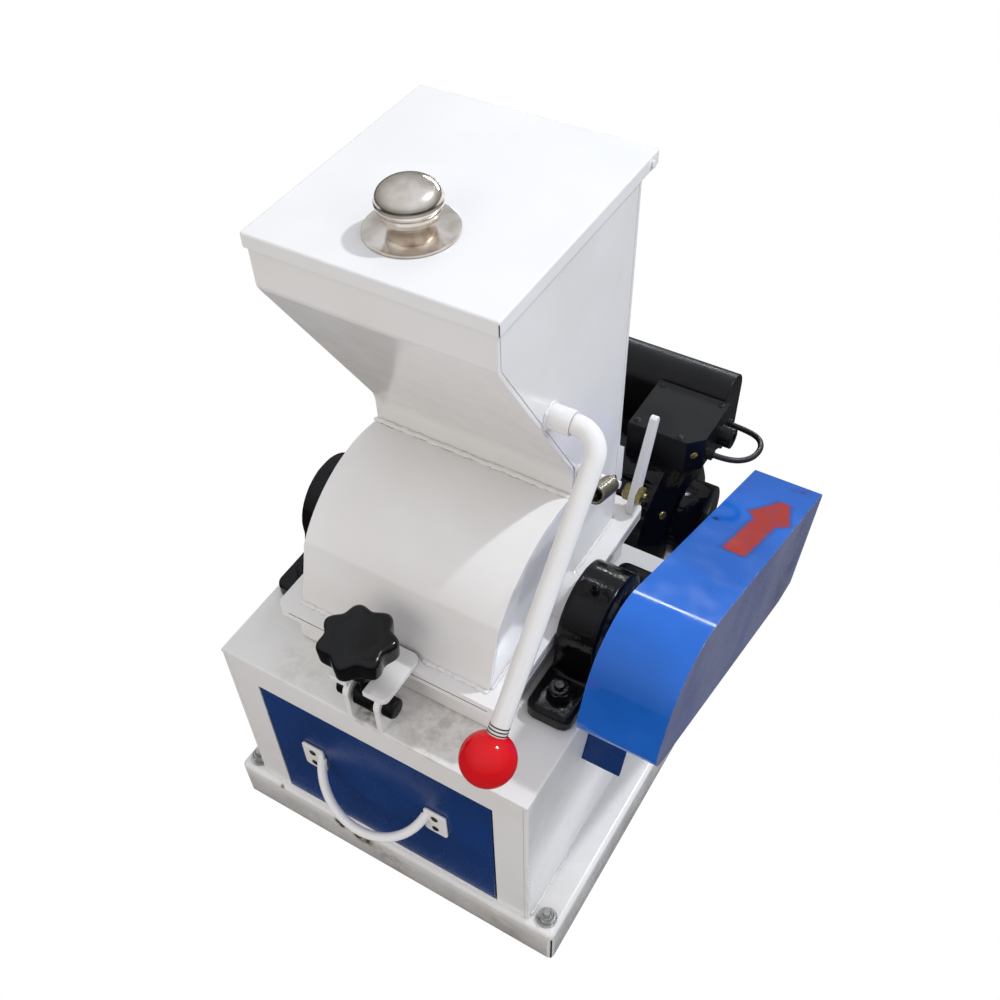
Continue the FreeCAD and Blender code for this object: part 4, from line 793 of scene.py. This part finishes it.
def sprayed_arrow(surface):
    """Lays the arrow over the enamel's own colour, with a dark mist of paint along its edges."""
    tree = surface.node_tree
    shader = next(n for n in tree.nodes if n.type == "BSDF_PRINCIPLED")
    under = shader.inputs["Base Color"].links[0].from_socket
    place = add(tree, "TexCoord", output="Object")
    laid = add(tree, "Mapping", {"Vector": place, "Location": arrow_foot, "Rotation": arrow_turn},
               vector_type="TEXTURE")
    parts = add(tree, "SeparateXYZ", {"Vector": laid}).node.outputs
    across = add(tree, "Math", (parts["X"],), operation="ABSOLUTE")
    ahead = parts["Y"]
    lifted = add(tree, "Math", (parts["Z"],), operation="ABSOLUTE")
    drift = add(tree, "TexNoise", {"Vector": place, "Scale": 1000 / 9, "Detail": 3, "Roughness": 0.6})
    fuzz = add(tree, "MapRange", (drift, 0.3, 0.7, -0.0005, 0.0005), **gradual)
    grow = add(tree, "MapRange", (ahead, arrow_neck, arrow_barb, arrow_half, arrow_head))
    fall = add(tree, "MapRange", (ahead, arrow_barb, arrow_length, 0.0, -arrow_head + 0.0035))
    outline = add(tree, "Math", (grow, fall), operation="ADD")
    half = add(tree, "Math", (outline, fuzz), operation="ADD")
    depth = add(tree, "Math", (half, across), operation="SUBTRACT")
    inside = add(tree, "MapRange", (depth, -0.0022, 0.0014), **gradual)
    uneven = add(tree, "Math", (ahead, fuzz), operation="ADD")
    begun = add(tree, "MapRange", (uneven, -0.0018, 0.0014), **gradual)
    ended = add(tree, "MapRange", (ahead, arrow_length - 0.002, arrow_length + 0.002, 1.0, 0.0), **gradual)
    on_top = add(tree, "MapRange", (lifted, 0.001, 0.003, 1.0, 0.0), **gradual)
    cloud = add(tree, "TexNoise", {"Vector": place, "Scale": 1000 / 13, "Detail": 3})
    thin = add(tree, "MapRange", (cloud, 0.3, 0.62, 0.86, 1.0), **gradual)
    mist = add(tree, "MapRange", (depth, -0.006, 0.002), **gradual)
    mist_begun = add(tree, "MapRange", (ahead, -0.005, 0.001), **gradual)
    paint = begun
    for share in (inside, ended, on_top, thin):
        paint = add(tree, "Math", (paint, share), operation="MULTIPLY")
    haze = mist_begun
    for share in (mist, 0.8, ended, on_top):
        haze = add(tree, "Math", (haze, share), operation="MULTIPLY")
    hazed = add(tree, "Mix", {0: haze, 6: under, 7: "#2C2748"}, **in_colour)
    over = add(tree, "Mix", {0: paint, 6: hazed, 7: "#A32A20"}, **in_colour)
    tree.links.new(over, shader.inputs["Base Color"])


def rolled_guard():
    """The guard with its rear top bend rolled, inside and out, as the strip was bent over a round tool."""
    bm = merged_copy("belt_guard")
    bmesh.ops.dissolve_limit(bm, angle_limit=0.01, use_dissolve_boundaries=False, verts=bm.verts,
                             edges=bm.edges, delimit={"NORMAL"})
    for inset in (0, guard_sheet):
        bend_line = guard_centre + guard_turn @ Vector((0, guard_rear - inset, guard_half - inset))
        ends = {v for v in bm.verts if (Vector((0, v.co.y, v.co.z)) - bend_line).length < 0.4}
        bends = [e for e in bm.edges if ends.issuperset(e.verts)]
        bmesh.ops.bevel(bm, geom=bends, offset=rolled_corner - inset, offset_type="OFFSET", segments=8,
                        profile=0.5, affect="EDGES", clamp_overlap=False, material=-1)
    return bm


guard_scuffs = [
    ((0.198, 0.384, 0.252), 0.014, 0.9, "#3A3A78"),
    ((0.153, 0.336, 0.272), 0.006, 0.8, "#1B2C60"),
    ((0.158, 0.28, 0.296), 0.005, 1.0, "#1B2C60"),
]
bright_blue = enamel("mid_blue_enamel", "#1865C6", "#145AB2", 0.13, peel_mm=0.003, worn="#7F93B8",
                     shade_and_grime="#12305F", patches=guard_scuffs)
sprayed_arrow(bright_blue)
bm = rolled_guard()
soften(bm, 0.8)
piece(bm, "belt_guard_skin", "frame", bright_blue, ["belt_guard"])
dress("guard_leg", "frame", blue, 0.4)


# Guard's outer plate: its face looks grey-blue, with darker blue patches.
# A skin of that colour lies a hair above the plate, just short of its rounded rim.
plate_dark_patches = [
    ((0.214, 0.33, 0.2), 0.05, 0.5, "#2A3052"),
    ((0.214, 0.22, 0.2), 0.03, 0.5, "#303A66"),
    ((0.214, 0.345, 0.25), 0.02, 0.4, "#7A5560"),
]
grey_blue = enamel("grey_blue_plate_enamel", "#7D82A2", "#6A719A", 0.2, patches=plate_dark_patches)
plate_x, rim_width, coat_foot, coat_rise = 213, 1.3, 0.05, 0.15
bm = rolled_guard()
others = [f for f in bm.faces if f.normal.x < 0.99 or f.calc_center_median().x < plate_x]
bmesh.ops.delete(bm, geom=others, context="FACES")
bmesh.ops.dissolve_limit(bm, angle_limit=0.01, use_dissolve_boundaries=False, verts=bm.verts, edges=bm.edges)
bmesh.ops.inset_region(bm, faces=bm.faces, thickness=rim_width, depth=0, use_even_offset=True)
inner = max(bm.faces, key=lambda f: f.calc_area())
bmesh.ops.delete(bm, geom=[f for f in bm.faces if f is not inner], context="FACES")
bmesh.ops.translate(bm, vec=(coat_foot, 0, 0), verts=bm.verts)
raised = bmesh.ops.extrude_face_region(bm, geom=bm.faces[:])["geom"]
outward = [g for g in raised if isinstance(g, bmesh.types.BMVert)]
bmesh.ops.translate(bm, vec=(coat_rise, 0, 0), verts=outward)
bmesh.ops.recalc_face_normals(bm, faces=bm.faces)
piece(bm, "guard_side_plate", "frame", grey_blue)


# Floor and light: a pale floor, one small bright lamp high behind on the right, a soft lamp in front and one
# at the right, a long low window far behind, and a soft room round it. The camera sees the floor as plain
# white, the object is lit by a greyer one, and the gloss of the paint mirrors a darker one.
floor_mesh = bpy.data.meshes.new("floor")
bm = bmesh.new()
bmesh.ops.create_grid(bm, x_segments=1, y_segments=1, size=8)
bm.to_mesh(floor_mesh)
bm.free()
floor = bpy.data.objects.new("floor", floor_mesh)
bpy.context.scene.collection.objects.link(floor)
paper, tree = new_surface("pale_floor")[:2]
rays = add(tree, "LightPath").node.outputs
matt_colour = add(tree, "Mix", {0: rays["Is Glossy Ray"], 6: "#CFCDCB", 7: "#4A4947"}, **in_colour)
matt = add(tree, "BsdfDiffuse", {"Color": matt_colour})
glow = add(tree, "Emission", {"Color": "#FFFFFF", "Strength": 1.0})
seen = add(tree, "MixShader", (rays["Is Camera Ray"], matt, glow))
add(tree, "OutputMaterial", {"Surface": seen})
floor_mesh.materials.append(paper)


def lamp(name, spot, target, size, power, code, depth=None):
    """A square lamp, or an oblong one if a depth is given, turned towards its target."""
    data = bpy.data.lights.new(name, "AREA")
    if depth:
        data.shape = "RECTANGLE"
        data.size_y = depth
    data.size = size
    data.energy = power
    data.color = linear(code)[:3]
    made = bpy.data.objects.new(name, data)
    made.location = spot
    made.rotation_euler = (Vector(target) - Vector(spot)).to_track_quat("-Z", "Y").to_euler()
    bpy.context.scene.collection.objects.link(made)
    return made


middle = Vector((0, 0.2, 0.3))
guard_front = (0.185, 0.137, 0.356)
key_way, key_distance = Vector((0.39, 0.448, 0.804)), 2.6
lamp("key", middle + key_distance * key_way, middle, 0.12, 33, "#F2F7FF")
lamp("fill", (-0.9, -2.4, 1.5), middle, 2.2, 22, "#FFF8F0").visible_glossy = False
lamp("side", (2.4, -0.3, 1.3), middle, 1.4, 14, "#E4EDFF").visible_glossy = False
lamp("window", (-0.379, 2.987, 1.097), guard_front, 1.6, 17, "#F6FAFF", 0.18)
world = bpy.data.worlds.new("room")
world.use_nodes = True
tree = world.node_tree
upward = add(tree, "SeparateXYZ", {"Vector": add(tree, "TexCoord", output="Generated")}, "Z")
share = add(tree, "MapRange", (upward, 0.0, 0.9), **gradual)
sky = add(tree, "Mix", {0: share, 6: "#A5A4A2", 7: "#F4F7FF"}, **in_colour)
tree.links.new(sky, tree.nodes["Background"].inputs["Color"])
tree.nodes["Background"].inputs["Strength"].default_value = 0.8
bpy.context.scene.world = world
bpy.context.scene.view_settings.view_transform = "Standard"
